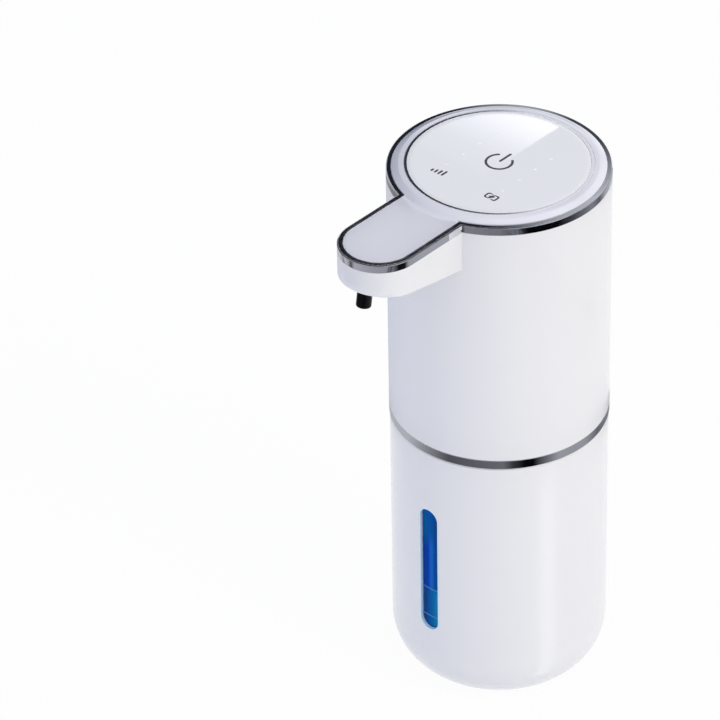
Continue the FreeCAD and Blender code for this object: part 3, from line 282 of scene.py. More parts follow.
# the same plastic for the top cover: a cool pale grey, glossier and flatter
coverAbs = mouldedPlastic("paleGreyGlossMouldedAbs", "#CACDD8", "#C8CBD7", 0.10, 1.6 * mm, 0.0002 * mm,
                          coat=1.0)
# PMMA, hard coated and flat: mirror-like clear coat over pale grey print
panelPmma = mouldedPlastic("hardCoatedPaleAcrylic", "#EFF1F5", "#EEF0F4", 0.02, 3.0 * mm, 0.00002 * mm,
                           coat=1.0, ior=1.49, coatRough=0.01)
# chrome plate on ABS, polished: mirror, a trace of haze
chrome = platedMetal("polishedChromePlate", "#E6E7EC", 0.015, 3.0 * mm, 0.00001 * mm)
# screen printed ink: dense black with a dull sheen
ink = mouldedPlastic("blackScreenPrintInk", "#0C0E14", "#11131A", 0.45, 0.08 * mm, 0.004 * mm)
# acrylic light pipe ends, polished: milky white, a little whiter than the panel, partly their own white and
# partly a painted faint glow; no light comes from them
lightPipe = mouldedPlastic("milkyAcrylicLightPipe", "#FFFFFF", "#F6F8FF", 0.12, 0.5 * mm, 0.0005 * mm,
                           coat=0.4, ior=1.49)
# ABS, spark eroded mould: deep black with a satin sheen
blackAbs = mouldedPlastic("satinBlackMouldedAbs", "#030304", "#050506", 0.30, 0.12 * mm, 0.004 * mm, ior=1.25)
# acrylic that passes infrared, polished: almost black, sharp reflections
infraredPane = mouldedPlastic("blackInfraredAcrylic", "#08080C", "#0A0A10", 0.04, 2.0 * mm, 0.0001 * mm,
                              coat=0.5, ior=1.49)
# silicone rubber, compression moulded: matt, soft grain
greySilicone = mouldedPlastic("mattGreyMouldedSilicone", "#8E9197", "#888B91", 0.62, 0.15 * mm, 0.01 * mm,
                              ior=1.41)
whiteSilicone = mouldedPlastic("mattWhiteMouldedSilicone", "#E4E6EC", "#E0E2E9", 0.55, 0.15 * mm, 0.008 * mm,
                               ior=1.41)
blackSilicone = mouldedPlastic("mattBlackMouldedSilicone", "#141416", "#19191B", 0.6, 0.15 * mm, 0.01 * mm,
                               ior=1.41)
# satin ABS for inner parts, from a spark eroded mould: even and soft, hardly a reflection
whiteAbs = mouldedPlastic("satinWhiteMouldedAbs", "#DADCE2", "#D5D7DE", 0.42, 0.12 * mm, 0.006 * mm)
# acetal, moulded: satin grey, a little waxy
greyAcetal = mouldedPlastic("satinGreyMouldedAcetal", "#74777D", "#6E7177", 0.40, 0.12 * mm, 0.006 * mm,
                            ior=1.48)
# fibreglass board under solder mask: green, the weave just showing through
boardFibre = mouldedPlastic("greenSolderMaskBoard", "#12512C", "#0F4726", 0.30, 0.45 * mm, 0.008 * mm)
# PVC sleeve, shrunk on with heat: blue, soft gloss with long ripples
cellSleeve = mouldedPlastic("blueShrinkSleevePvc", "#1E5A8E", "#1A5284", 0.28, 2.2 * mm, 0.02 * mm)
# closed cell foam, skived to tape: dull, open pores along its cut faces
foamTape = mouldedPlastic("closedCellFoamTape", "#B9BBBD", "#A9ABAE", 0.9, 0.35 * mm, 0.05 * mm)
# silicone tube, extruded: cloudy and half clear, faint waves along it
clearHose = mouldedPlastic("extrudedClearSilicone", "#D5DBE0", "#CDD4DA", 0.18, 0.9 * mm, 0.004 * mm,
                           ior=1.41, alpha=0.55)
# pressed steel, zinc plated: bright grey, a fine frosty spangle
steel = platedMetal("zincPlatedPressedSteel", "#9EA1A6", 0.28, 0.5 * mm, 0.002 * mm)
# brass, turned: warm yellow with fine tool rings
brass = platedMetal("turnedBrass", "#B08D45", 0.25, 0.3 * mm, 0.003 * mm, (1, 1, 8))
# ferrite, pressed and sintered: near black, dull and gritty
ferrite = mouldedPlastic("sinteredFerrite", "#242426", "#1C1C1E", 0.55, 0.1 * mm, 0.01 * mm)

tint = {"half": 3.7 * mm, "low": 29.5 * mm, "high": 78.9 * mm, "ripple": 6 * mm, "rippleDepth": 0.002 * mm,
        "wave": 0.04}


def tintedBottleWithPaintedLight():
    # PET, blow moulded and dyed blue: glassy, greener low down, with light and shade painted into its colour:
    # a painted highlight streak in the middle, and painted shade and lighter painted bands towards the sides.
    # Three ramps run across the window, for its low part, middle and top; two masks that waver with the
    # ripples mix them up its height, (z - low) / (high - low) + wave
    made, tree = newMaterial("blueTintedBlownPet")
    place, noise, bump = grainBump(tree, tint["ripple"], tint["rippleDepth"], 1.0)
    axes = addNode(tree, "SeparateXYZ", {"Vector": place.outputs["Object"]})
    across = addNode(tree, "MapRange", {
        "Value": axes.outputs["X"], "From Min": -tint["half"], "From Max": tint["half"]}).outputs["Result"]
    wave = addNode(tree, "MapRange", {
        "Value": noise.outputs["Fac"], "To Min": -tint["wave"], "To Max": tint["wave"]})
    height = addNode(tree, "MapRange", {
        "Value": axes.outputs["Z"], "From Min": tint["low"], "From Max": tint["high"]})
    level = addNode(tree, "Math", {0: height.outputs["Result"], 1: wave.outputs["Result"]}, operation="ADD")
    # each ramp paints light and shade across the window: darker and lighter bands towards the sides, and in
    # the middle ramp a pale painted highlight streak
    plain = addNode(tree, "ValToRGB", {"Fac": across}, [
        (0.0, "#16589A"), (0.1, "#045A9B"), (0.5, "#0356AB"), (0.8, "#064D8F"), (1.0, "#063D7E")])
    streak = addNode(tree, "ValToRGB", {"Fac": across}, [
        (0.0, "#20559C"), (0.12, "#044095"), (0.36, "#043FAD"), (0.5, "#1A66C9"), (0.62, "#1662C1"),
        (0.74, "#054C9A"), (1.0, "#1C588D")])
    deep = addNode(tree, "ValToRGB", {"Fac": across}, [
        (0.0, "#3064A4"), (0.14, "#143E77"), (0.45, "#065CAA"), (0.62, "#086AA6"), (0.82, "#1A7DB8"),
        (1.0, "#3A84A5")])
    low = addNode(tree, "ValToRGB", {"Fac": level.outputs[0]}, [
        (0.0, "#FFFFFF"), (0.29, "#FFFFFF"), (0.34, "#000000")])
    high = addNode(tree, "ValToRGB", {"Fac": level.outputs[0]}, [
        (0.0, "#000000"), (0.66, "#000000"), (0.8, "#FFFFFF")])
    blend = addNode(tree, "Mix", {
        "Factor": low.outputs["Color"], "A": streak.outputs["Color"], "B": deep.outputs["Color"]},
        data_type="RGBA")
    blend = addNode(tree, "Mix", {
        "Factor": high.outputs["Color"], "A": blend.outputs["Result"], "B": plain.outputs["Color"]},
        data_type="RGBA")
    shader = addNode(tree, "BsdfPrincipled", {
        "Base Color": blend.outputs["Result"], "Roughness": 0.06, "IOR": 1.57, "Alpha": 0.99,
        "Specular IOR Level": 0.01, "Normal": bump.outputs["Normal"]})
    addNode(tree, "OutputMaterial", {"Surface": shader.outputs["BSDF"]})
    return made


# the blue PET, its colour carrying a painted highlight streak and painted shade towards the sides
bluePetPaintedLight = tintedBottleWithPaintedLight()
# the same PET where it is thin: its edges and marks are pale blue; the edge lip's pale colour is partly thin
# PET and partly a painted highlight where the slot's edge catches the light
lipPetPaintedHighlight = mouldedPlastic("paleBlueEdgeLitPet", "#DCF1FF", "#D8EEFF", 0.10, 2 * mm, 0.0005 * mm, ior=1.57)
markPet = mouldedPlastic("paleBlueRaisedPetMark", "#3C86C6", "#3680C0", 0.10, 2 * mm, 0.0005 * mm, ior=1.57)
# liquid soap, dyed: clear wet blue
soap = mouldedPlastic("blueLiquidSoap", "#0B5AA0", "#084C90", 0.08, 9 * mm, 0.001 * mm, ior=1.34)

finishes = {
    "white_shell": shellAbs, "clear_tank": bluePetPaintedLight, "grey_rubber": greySilicone,
    "white_rubber": whiteSilicone, "black_rubber": blackSilicone, "chrome_trim": chrome,
    "pale_cover": coverAbs, "white_panel": panelPmma, "light_pipe": lightPipe, "green_board": boardFibre,
    "white_inner": whiteAbs, "grey_plastic": greyAcetal, "black_plastic": blackAbs, "steel": steel,
    "cell_can": cellSleeve, "ferrite": ferrite, "brass": brass, "clear_hose": clearHose,
    "adhesive_foam": foamTape}
print("materials made")


# levels and measures that several pieces share
jacketLow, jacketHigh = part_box("bottle_jacket")
bandLow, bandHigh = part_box("mid_band")
rimLow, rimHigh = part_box("rim_trim")
panelLow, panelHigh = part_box("touch_panel")
bodyR = jacketHigh.x
spout = {"halfWidth": 13.5 * mm, "tipDepth": 8.73 * mm, "slope": math.radians(9.5), "edge": 1.8 * mm,
         "wall": 2.0 * mm, "trimLift": 0.5 * mm}
spoutReach = -rimLow.y
rimFoot = rimLow.z + spout["trimLift"]
tipY = spout["halfWidth"] - spoutReach


def underside(y, lift=0.0):
    # height of the spout's sloping floor: the tip's underside less the way from the tip times the slope
    return rimLow.z - spout["tipDepth"] - (spoutReach + y) * math.tan(spout["slope"]) + lift


jacket = {"slimmer": 0.25 * mm, "wall": 1.75 * mm, "roundR": 18.4 * mm, "roundSteps": 26, "lip": 0.25 * mm,
          "padR": 15.1 * mm, "padDepth": 1.0 * mm, "padRound": 0.1 * mm, "padEdge": 0.15 * mm,
          "columns": 360, "rows": 66, "slotHalf": 4.35 * mm, "slotLow": 28.9 * mm, "slotHigh": 79.5 * mm,
          "slotEdge": 0.08 * mm, "patchColumns": 11, "patchMargin": 5.0 * mm, "slotRings": (7, 6, 5)}
jacketR = bodyR - jacket["slimmer"]


def slotLoop(xz, radius):
    # the point of the slot's outline nearest each (x, z): its middle line pushed out by a radius
    half = jacket["slotHalf"]
    mid = np.clip(xz[:, 1], jacket["slotLow"] + half, jacket["slotHigh"] - half)
    away = np.stack([xz[:, 0], xz[:, 1] - mid], -1)
    away /= np.linalg.norm(away, axis=1)[:, None]
    return np.stack([away[:, 0] * radius, mid + away[:, 1] * radius], -1)


def onWall(xz, r, depth=0.0):
    # puts (x, z) points on the front of a cylinder, y = -sqrt(r r - x x), then inwards by a depth
    return surface(xz[:, 0], -np.sqrt(r * r - xz[:, 0] ** 2) + depth, xz[:, 1])


def jacketShape():
    # a (radius, height) path turned once round the axis: foot, outer wall, lip, inner wall and floor.
    # Both walls leave out a patch at the front. Rings fill it from the patch's edge p to the slot's
    # edge q, p + (q - p) t, with a quarter round between the outer rings and the inner ones
    j = jacket
    outR, inR, count = jacketR, jacketR - j["wall"], j["columns"]
    low, top = jacketLow.z, jacketHigh.z
    rows = np.linspace(low + j["roundR"], top - j["lip"], j["rows"])
    foot = roundedPath([
        (0, low + j["padDepth"], 0), (j["padR"], low + j["padDepth"], j["padRound"]),
        (j["padR"], low, j["padEdge"]), (outR, low, j["roundR"]), (outR, rows[1], 0)],
        j["roundSteps"], closed=False)[:-1]
    lip = roundedPath([(outR, rows[-1], 0), (outR, top, j["lip"]), (inR, top, j["lip"]), (inR, rows[-1], 0)],
                      closed=False)
    inner = roundedPath([
        (inR, rows[1], 0), (inR, low + j["wall"], j["roundR"] - j["wall"]), (0, low + j["wall"], 0)],
        j["roundSteps"], closed=False)[1:]
    outWall = np.column_stack([np.full(j["rows"], outR), rows])[1:-1]
    inWall = np.column_stack([np.full(j["rows"], inR), rows[::-1]])[1:-1]
    path = np.concatenate([foot, outWall, lip, inWall, inner])
    points, faces = lathe(path, count, loop=False)

    cols = np.arange(-j["patchColumns"], j["patchColumns"] + 1) % count
    above = path[:, 1] > j["slotLow"] - j["patchMargin"]
    below = path[:, 1] < j["slotHigh"] + j["patchMargin"]
    holes = np.zeros((len(path) - 1, count), bool)
    borders = []
    for r in (outR, inR):
        found = np.where((abs(path[:, 0] - r) < 1e-9) & above & below)[0]
        holes[np.ix_(found[:-1], cols[:-1])] = True
        if r == inR:
            found = found[::-1]
        loop = np.concatenate([found[0] * count + cols, found[1:] * count + cols[-1],
                               found[-1] * count + cols[::-1][1:], found[::-1][1:-1] * count + cols[0]])
        borders.append(points[loop][:, [0, 2]])
    faces = faces.reshape(len(path) - 1, count, 4)[~holes]

    start, finish = borders
    half, edge = j["slotHalf"], j["slotEdge"]
    lead, turn, leave = j["slotRings"]
    wide, slot = slotLoop(start, half + edge), slotLoop(start, half)
    rings = [onWall(start + (wide - start) * t, outR) for t in np.linspace(0, 1, lead)]
    rings += [onWall(slotLoop(start, half + edge * (1 - math.sin(p))), outR, edge * (1 - math.cos(p)))
              for p in np.linspace(0, math.pi / 2, turn)[1:]]
    rings += [onWall(slot + (finish - slot) * t, inR) for t in np.linspace(0, 1, leave)]
    return joined((points, faces), (np.stack(rings), gridFaces(len(rings), len(start), loopCols=True)))


piece("bottleJacket", jacketShape(), ["bottle_jacket"], shellAbs, 40)

window = {"half": 3.72 * mm, "low": 29.5 * mm, "high": 78.9 * mm, "lipGap": 0.02 * mm, "lipRound": 0.25 * mm,
          "lipSink": 0.01 * mm, "inset": 1.2 * mm, "paneGap": 0.1 * mm, "paneEdge": 0.2 * mm,
          "paneSink": 0.3 * mm, "steps": 40, "marks": (45.6 * mm, 34.2 * mm), "markRise": 0.09 * mm,
          "markHalf": 0.2 * mm, "markGap": 0.05 * mm, "markColumns": 25, "markSteps": 12}


def stadium(radius):
    # the window's outline: two straight sides and two half circles about its middle line
    w, n = window, window["steps"]
    turn = np.linspace(-math.pi / 2, math.pi / 2, n)
    high, low = w["high"] - w["half"], w["low"] + w["half"]
    cap = np.stack([radius * np.sin(turn), high + radius * np.cos(turn)], -1)
    side = np.stack([np.full(n, radius), np.linspace(high, low, n)], -1)[1:-1]
    base = np.stack([radius * np.sin(turn[::-1]), low - radius * np.cos(turn)], -1)
    return np.concatenate([cap, side, base, np.stack([-side[:, 0], side[::-1, 1]], -1)])


def lipShape():
    # a ring that lines the slot: its (outwards, inwards) section carried round the outline
    w, outer = window, jacket["slotHalf"] - window["lipGap"]
    section = roundedPath([
        (outer, w["lipSink"], 0), (w["half"], w["lipSink"], w["lipRound"]), (w["half"], jacket["wall"], 0),
        (outer, jacket["wall"], 0)])
    rings = np.stack([onWall(stadium(out), jacketR, depth) for out, depth in section])
    return rings, gridFaces(len(rings), rings.shape[1], loopRows=True, loopCols=True)


def paneShape():
    # a pane on the tank that fills the window: rings out from its middle line at the back, a round
    # edge (cos, sin), then rings that close on its middle line at the front
    w, half, edge = window, window["half"] - window["paneGap"], window["paneEdge"]
    back = jacket["wall"] + w["paneSink"]
    rings = [onWall(stadium(half * k), jacketR, back) for k in (0, 0.5, 1)]
    rings += [onWall(stadium(half - edge + edge * math.cos(turn)), jacketR,
                     w["inset"] + edge - edge * math.sin(turn)) for turn in np.linspace(0, math.pi / 2, 5)]
    rings += [onWall(stadium((half - edge) * k), jacketR, w["inset"]) for k in np.linspace(1, 0, 8)[1:]]
    return np.stack(rings), gridFaces(len(rings), rings[0].shape[0], loopCols=True)


def marksShape():
    # the level marks: low round ribs across the pane, each an ellipse carried round its front
    w, n, steps = window, window["markColumns"], window["markSteps"]
    x = np.linspace(-1, 1, n) * (w["half"] - w["paneGap"] - w["markGap"])
    turn = np.linspace(0, 2 * math.pi, steps + 1)[:-1, None]
    out = jacketR - w["inset"] + w["markRise"] * np.cos(turn)
    ends = [list(range(0, steps * n, n)), list(range(n - 1, steps * n, n))[::-1]]
    faces = gridFaces(steps, n, loopRows=True).tolist() + ends
    return joined(*[(surface(x, -np.sqrt(out * out - x * x), z + w["markHalf"] * np.sin(turn)), faces)
                    for z in w["marks"]])


part("windowLip", lipShape(), ["tank_liner"], lipPetPaintedHighlight, 40)
part("windowPane", paneShape(), ["tank_liner"], bluePetPaintedLight, 40)
part("levelMarks", marksShape(), ["tank_liner"], markPet, 40)


housing = {"wall": 2.2 * mm, "innerEdge": 0.5 * mm, "columns": 300, "lowRows": 36, "sideRows": 7,
           "filletSteps": 7, "floorColumns": 25, "spoutSteps": 18, "tipSteps": 48}


def housingSkin(r, half, lift, edge, low, high):
    # one skin of the housing: the round wall, the part of it under the spout, the spout's straight run
    # and its round end. The spout's section runs down one side, round the fillet, across the floor and
    # up again; its height is high + (floor + rise - high) share, the share 0 at the top, 1 on the floor
    h = housing
    q = np.linspace(0, 1, h["sideRows"])
    sides = np.ones(len(q))
    turn = np.linspace(math.pi / 2, 0, h["filletSteps"])[1:]
    floorX = np.linspace(half - edge, edge - half, h["floorColumns"])[1:-1]
    filletX, filletRise = half - edge + edge * np.sin(turn), edge - edge * np.cos(turn)
    x = np.concatenate([half * sides, filletX, floorX, -filletX[::-1], -half * sides])
    rise = np.concatenate([edge * sides, filletRise, 0 * floorX, filletRise[::-1], edge * sides])
    share = np.concatenate([q, np.ones(len(x) - 2 * len(q)), q[::-1]])

    def section(y, cells=slice(None)):
        # heights of the section's cells at this y
        return high + (underside(y, lift) + rise[cells] - high) * share[cells]

    rootY = -np.sqrt(r * r - x * x)
    y = rootY + (tipY - rootY) * np.linspace(0, 1, h["spoutSteps"])[:, None]
    straight = surface(x, y, section(y))
    middle = slice(0, (len(x) + 1) // 2)
    around = np.linspace(0, math.pi, h["tipSteps"])[:, None]
    y = tipY - x[middle] * np.sin(around)
    tip = surface(x[middle] * np.cos(around), y, section(y, middle))
    start = math.asin(half / r)
    cols = start + np.linspace(0, 1, h["columns"]) * (2 * math.pi - 2 * start)
    joinZ = underside(-math.sqrt(r * r - half * half), lift) + edge
    t = np.linspace(0, 1, h["lowRows"])[:, None]
    rows = np.concatenate([low + (joinZ - low) * t, (high + (joinZ - high) * q[::-1, None])[1:]])
    wall = surface(r * np.sin(cols), -r * np.cos(cols), rows)
    under = slice(len(q) - 1, len(x) - len(q) + 1)
    belly = surface(x[under], rootY[under], low + (section(rootY[under], under) - low) * t)
    return {"wall": wall, "belly": belly, "straight": straight, "tip": tip}


def skinBorders(skin):
    # the lines along which the outer and the inner skin are joined: the top edge and the seam
    return [skin["wall"][-1], skin["straight"][:, 0], skin["tip"][:, 0], skin["straight"][:, -1],
            skin["wall"][0], skin["belly"][0]]


def housingShape():
    # the outer and the inner skin, and a strip one face wide between each pair of borders
    low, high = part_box("upper_housing")[0].z, rimFoot
    outer = housingSkin(bodyR, spout["halfWidth"], 0.0, spout["edge"], low, high)
    inner = housingSkin(bodyR - housing["wall"], spout["halfWidth"] - spout["wall"],
                        spout["wall"] / math.cos(spout["slope"]), housing["innerEdge"], low, high)
    parts = [(grid, gridFaces(*grid.shape[:2])) for skin in (outer, inner) for grid in skin.values()]
    for pair in zip(skinBorders(outer), skinBorders(inner)):
        parts.append((np.stack(pair), gridFaces(2, len(pair[0]))))
    return joined(*parts)


def roundedRect(halfX, halfY, radius):
    # a rectangle about the origin, its corners rounded
    corners = [(-halfX, -halfY), (halfX, -halfY), (halfX, halfY), (-halfX, halfY)]
    return roundedPath([(*corner, radius) for corner in corners])


def onUnderside(shape, distance):
    # turns a shape made about the origin square to the sloping floor, this far in front of the axis
    points, faces = shape
    turn = np.array(Matrix.Rotation(-spout["slope"], 3, "X"))
    return points @ turn.T + np.array([0, -distance, underside(-distance)]), faces


def upright(outline, y0, y1):
    # an (x, z) outline as a slab that runs along y
    points, faces = slab(outline, y0, y1)
    return points[:, [0, 2, 1]], faces


def flared(outline, midZ, y0, y1):
    # a cutter wider by a little at its outer end, so that the opening gets a broken edge: each point
    # moves out by the flare along x and z, then the cutter runs straight on
    grow = openings["flare"]
    wide = outline + np.sign(outline - np.array([0, midZ])) * grow
    steps = ((outline, y0), (outline, y1 - grow), (wide, y1), (wide, y1 + openings["past"]))
    return closedTube(np.stack([atHeight(line, y)[:, [0, 2, 1]] for line, y in steps]))


port = {"halfX": 7.2 * mm, "radius": 0.8 * mm, "gap": 0.2 * mm, "sink": 0.5 * mm, "floor": 0.5 * mm,
        "border": 2.3 * mm, "holeHalf": (4.8 * mm, 1.9 * mm), "holeRadius": 1.2 * mm, "holeIn": 6 * mm,
        "holeOut": 1 * mm, "bossSide": 2.1 * mm, "bossDepth": 3.0 * mm, "bossColumns": 25}
hook = {"half": 6.6 * mm, "low": 124.1 * mm, "high": 144.0 * mm, "radius": 1.0 * mm, "inner": 25 * mm,
        "sink": 0.25 * mm}
ledge = {"innerR": 30.5 * mm, "drop": 2.5 * mm, "thick": 2.5 * mm, "overlap": 0.1 * mm}
openings = {"flare": 0.25 * mm, "past": 5 * mm, "through": (-3 * mm, 3.5 * mm), "nozzleR": 2.6 * mm,
            "nozzleAt": 64.8 * mm, "pane": (6.1 * mm, 3.1 * mm, 0.6 * mm), "paneAt": 49.0 * mm}


def housingPiece():
    # the skins with the chassis ledge and the port's boss joined inside, then every opening cut
    thing = makeObject("upperHousing", makeMesh("upperHousing", *housingShape()))
    outerR = bodyR - housing["wall"] + ledge["overlap"]
    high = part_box("main_board")[0].z - ledge["drop"]
    low = high - ledge["thick"]
    innerR = ledge["innerR"]
    ledgeRing = lathe(np.array([(innerR, low), (outerR, low), (outerR, high), (innerR, high)]))
    plugLow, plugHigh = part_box("port_plug")
    anchorLow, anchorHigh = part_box("plug_anchor")
    floorY, recessZ = anchorLow.y, (plugLow.z + anchorHigh.z) / 2
    x = np.linspace(-port["halfX"] - port["bossSide"], port["halfX"] + port["bossSide"], port["bossColumns"])
    front = np.stack([x, np.full(len(x), floorY - port["bossDepth"])], -1)
    rear = np.stack([x, np.sqrt(outerR ** 2 - x ** 2)], -1)[::-1]
    boss = slab(np.concatenate([front, rear]), plugLow.z - port["border"], anchorHigh.z + port["border"])
    cutBy(thing, [ledgeRing, boss], "UNION")

    halfZ = (anchorHigh.z - plugLow.z) / 2 + port["gap"]
    recess = roundedRect(port["halfX"], halfZ, port["radius"]) + np.array([0, recessZ])
    holeZ = (plugLow.z + plugHigh.z - port["floor"]) / 2
    hole = roundedRect(*port["holeHalf"], port["holeRadius"]) + np.array([0, holeZ])
    hookZ = (hook["low"] + hook["high"]) / 2
    slot = roundedRect(hook["half"], (hook["high"] - hook["low"]) / 2, hook["radius"]) + np.array([0, hookZ])
    ring = np.linspace(0, 2 * math.pi, 48, endpoint=False)
    bore = np.stack([np.cos(ring), np.sin(ring)], -1) * openings["nozzleR"]
    cutBy(thing, [
        flared(recess, recessZ, floorY, bodyR - port["sink"]),
        upright(hole, floorY - port["holeIn"], floorY + port["holeOut"]),
        flared(slot, hookZ, hook["inner"], bodyR - hook["sink"]),
        onUnderside(slab(bore, *openings["through"]), openings["nozzleAt"]),
        onUnderside(slab(roundedRect(*openings["pane"]), *openings["through"]), openings["paneAt"])])
    dress(thing, ["upper_housing"], shellAbs, 30)
    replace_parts(thing, "upper_housing")


housingPiece()
print("shells made")


band = {"round": 0.22 * mm, "innerR": 33.0 * mm, "innerRound": 0.1 * mm, "upstandR": 34.2 * mm,
        "upstandFoot": 0.05 * mm, "upstandRound": 0.2 * mm, "shelf": 3.6 * mm}
bandShelf = bandLow.z + band["shelf"]
bandPath = roundedPath([
    (band["innerR"], bandLow.z, band["innerRound"]), (bodyR, bandLow.z, band["round"]),
    (bodyR, bandShelf, band["round"]), (band["upstandR"], bandShelf, band["upstandFoot"]),
    (band["upstandR"], bandHigh.z, band["upstandRound"]),
    (band["innerR"], bandHigh.z, band["upstandRound"])], 5)
piece("midBand", lathe(bandPath, 360), ["mid_band"], chrome)

rim = {"face": 2.0 * mm, "flange": 4.0 * mm, "flangeHeight": 1.0 * mm, "edge": 0.35 * mm,
       "foot": 0.1 * mm, "inner": 0.05 * mm, "arcShare": 0.84, "arcSteps": 300, "sideSteps": 24,
       "tipSteps": 72}
flangeZ = rimLow.z + rim["flangeHeight"]


def keyhole(inset):
    # the round body's outline run into the round-ended spout: a long arc, two straight sides and a half
    # circle, all drawn in by an inset, of which the round body takes a share
    half, r = spout["halfWidth"] - inset, bodyR - inset * rim["arcShare"]
    start = math.asin(half / r)
    turn = np.linspace(start, 2 * math.pi - start, rim["arcSteps"])
    arc = np.stack([r * np.sin(turn), -r * np.cos(turn)], -1)
    s = np.linspace(0, 1, rim["sideSteps"] + 1)[1:, None]
    left = arc[-1] + (np.array([-half, tipY]) - arc[-1]) * s
    turn = np.linspace(math.pi, 2 * math.pi, rim["tipSteps"] + 1)[1:]
    tip = np.stack([half * np.cos(turn), tipY + half * np.sin(turn)], -1)
    right = np.array([half, tipY]) + (arc[0] - np.array([half, tipY])) * s[:-1]
    return np.concatenate([arc, left, tip, right])


rimPath = roundedPath([
    (0, rimFoot, rim["foot"]), (0, rimHigh.z, rim["edge"]), (rim["face"], rimHigh.z, rim["inner"]),
    (rim["face"], flangeZ, 0), (rim["flange"], flangeZ, rim["foot"]),
    (rim["flange"], rimFoot, rim["foot"])], 7)
rings = np.stack([atHeight(keyhole(inset), z) for inset, z in rimPath])
piece("rimTrim", (rings, gridFaces(*rings.shape[:2], loopRows=True, loopCols=True)), ["rim_trim"], chrome)

cover = {"inset": 2.05 * mm, "seatR": 30.72 * mm, "seatDepth": 1.8 * mm, "domeWidth": 4.3 * mm, "soft": 0.02,
         "holeR": 28.1 * mm, "middleR": 34.0 * mm, "rings": 14, "outRings": 12, "gather": 2.2,
         "lead": 0.16 * mm, "edge": 0.12 * mm, "edgeDrop": 0.035 * mm}


def coverHeight(r):
    # a parabola down from the seat, h = 1 - u u, eased into the flat plate: (h + sqrt(h h + 4 soft soft)) / 2
    u = (r - cover["seatR"]) / cover["domeWidth"]
    h = 1 - u * u
    return rimHigh.z + (panelHigh.z - rimHigh.z) * 0.5 * (h + np.sqrt(h * h + 4 * cover["soft"] ** 2))


def coverShape():
    # rays from the seat out to the plate's outline: evenly spaced to the middle radius, then gathered by
    # a power of the share, a rounded edge, and the underside; the top follows the height curve
    c = cover
    outline = keyhole(c["inset"])
    far = np.linalg.norm(outline, axis=1)

    def ring(radii, heights):
        # rings at these radii along every ray
        return surface(outline[:, 0] / far * radii, outline[:, 1] / far * radii, heights)

    even = c["seatR"] + (c["middleR"] - c["seatR"]) * np.linspace(0, 1, c["rings"])[:, None] + 0 * far
    t = np.linspace(0, 1, c["outRings"])[1:, None] ** c["gather"]
    radii = np.concatenate([even, c["middleR"] + (far - c["lead"] - c["middleR"]) * t, [far - c["edge"]]])
    seatZ = panelHigh.z - c["seatDepth"]
    halfRound = far - c["edge"] * (1 - math.sin(math.pi / 4))
    rings = np.concatenate([
        [ring(c["holeR"], flangeZ), ring(c["holeR"], seatZ), ring(c["seatR"], seatZ)],
        ring(radii, coverHeight(radii)),
        [ring(halfRound, coverHeight(far - c["edge"]) - c["edgeDrop"]),
         ring(far, rimHigh.z - c["edge"]), ring(far, flangeZ)]])
    return rings, gridFaces(*rings.shape[:2], loopRows=True, loopCols=True)


piece("topCover", coverShape(), ["top_cover"], coverAbs, 38)

ringLow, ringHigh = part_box("panel_ring")
panelRing = {"inner": 29.62 * mm, "outer": 30.7 * mm, "foot": 0.05 * mm, "edge": 0.07 * mm}
ringPath = roundedPath([
    (panelRing["inner"], ringLow.z, panelRing["foot"]), (panelRing["outer"], ringLow.z, panelRing["foot"]),
    (panelRing["outer"], ringHigh.z, panelRing["edge"]),
    (panelRing["inner"], ringHigh.z, panelRing["edge"])], 5)
piece("panelRing", lathe(ringPath, 360), ["panel_ring"], chrome)
print("trim made")


panel = {"r": 29.6 * mm, "thick": 1.8 * mm, "plugR": 28.0 * mm, "sink": 0.03 * mm, "edge": 0.1 * mm,
         "inkDeep": 0.15 * mm}
panelTop = panelHigh.z - panel["sink"]
panelFoot = panelHigh.z - panel["thick"]
discPath = roundedPath([
    (0, panelLow.z, 0), (panel["plugR"], panelLow.z, panel["edge"]), (panel["plugR"], panelFoot, 0),
    (panel["r"], panelFoot, panel["edge"]), (panel["r"], panelTop, panel["edge"]), (0, panelTop, 0)],
    closed=False)
piece("touchPanel", lathe(discPath, 240, loop=False), ["touch_panel"], panelPmma)


def stroke(line, width):
    # a closed ribbon of ink along a line of points, half wide to each side, times sqrt(1 - (1 - s)^2)
    # near its ends, which rounds them
    step = np.gradient(line, axis=0)
    along = step / np.linalg.norm(step, axis=1)[:, None]
    gone = np.concatenate([[0], np.cumsum(np.linalg.norm(np.diff(line, axis=0), axis=1))])
    near = np.clip(np.minimum(gone, gone[-1] - gone) / (width / 2), 0, 1)
    half = (width / 2 * np.sqrt(1 - (1 - near) ** 2))[:, None]
    side = np.column_stack([-along[:, 1], along[:, 0]]) * half
    low, high = panelTop - panel["inkDeep"], panelHigh.z
    corners = [atHeight(line + side, low), atHeight(line + side, high), atHeight(line - side, high),
               atHeight(line - side, low)]
    return np.stack(corners), gridFaces(4, len(line), loopRows=True)


def eased(count):
    # shares from 0 to 1 gathered at both ends, (1 - cos) / 2, where a stroke rounds off
    return (1 - np.cos(np.linspace(0, math.pi, count))) / 2


def run(x0, y0, x1, y1):
    # a straight line between two points in mm
    t = eased(25)
    return np.column_stack([x0 + (x1 - x0) * t, y0 + (y1 - y0) * t]) * mm


def bend(x, y, r, a0, a1):
    # an arc about a point in mm, its angles counted from straight up
    a = np.radians(a0 + (a1 - a0) * eased(97))
    return np.column_stack([x + r * np.sin(a), y + r * np.cos(a)]) * mm


def symbol(name, *strokes):
    # several strokes printed on the panel as one piece
    part(name, joined(*strokes), ["touch_panel"], ink, 30, weld=1e-8)


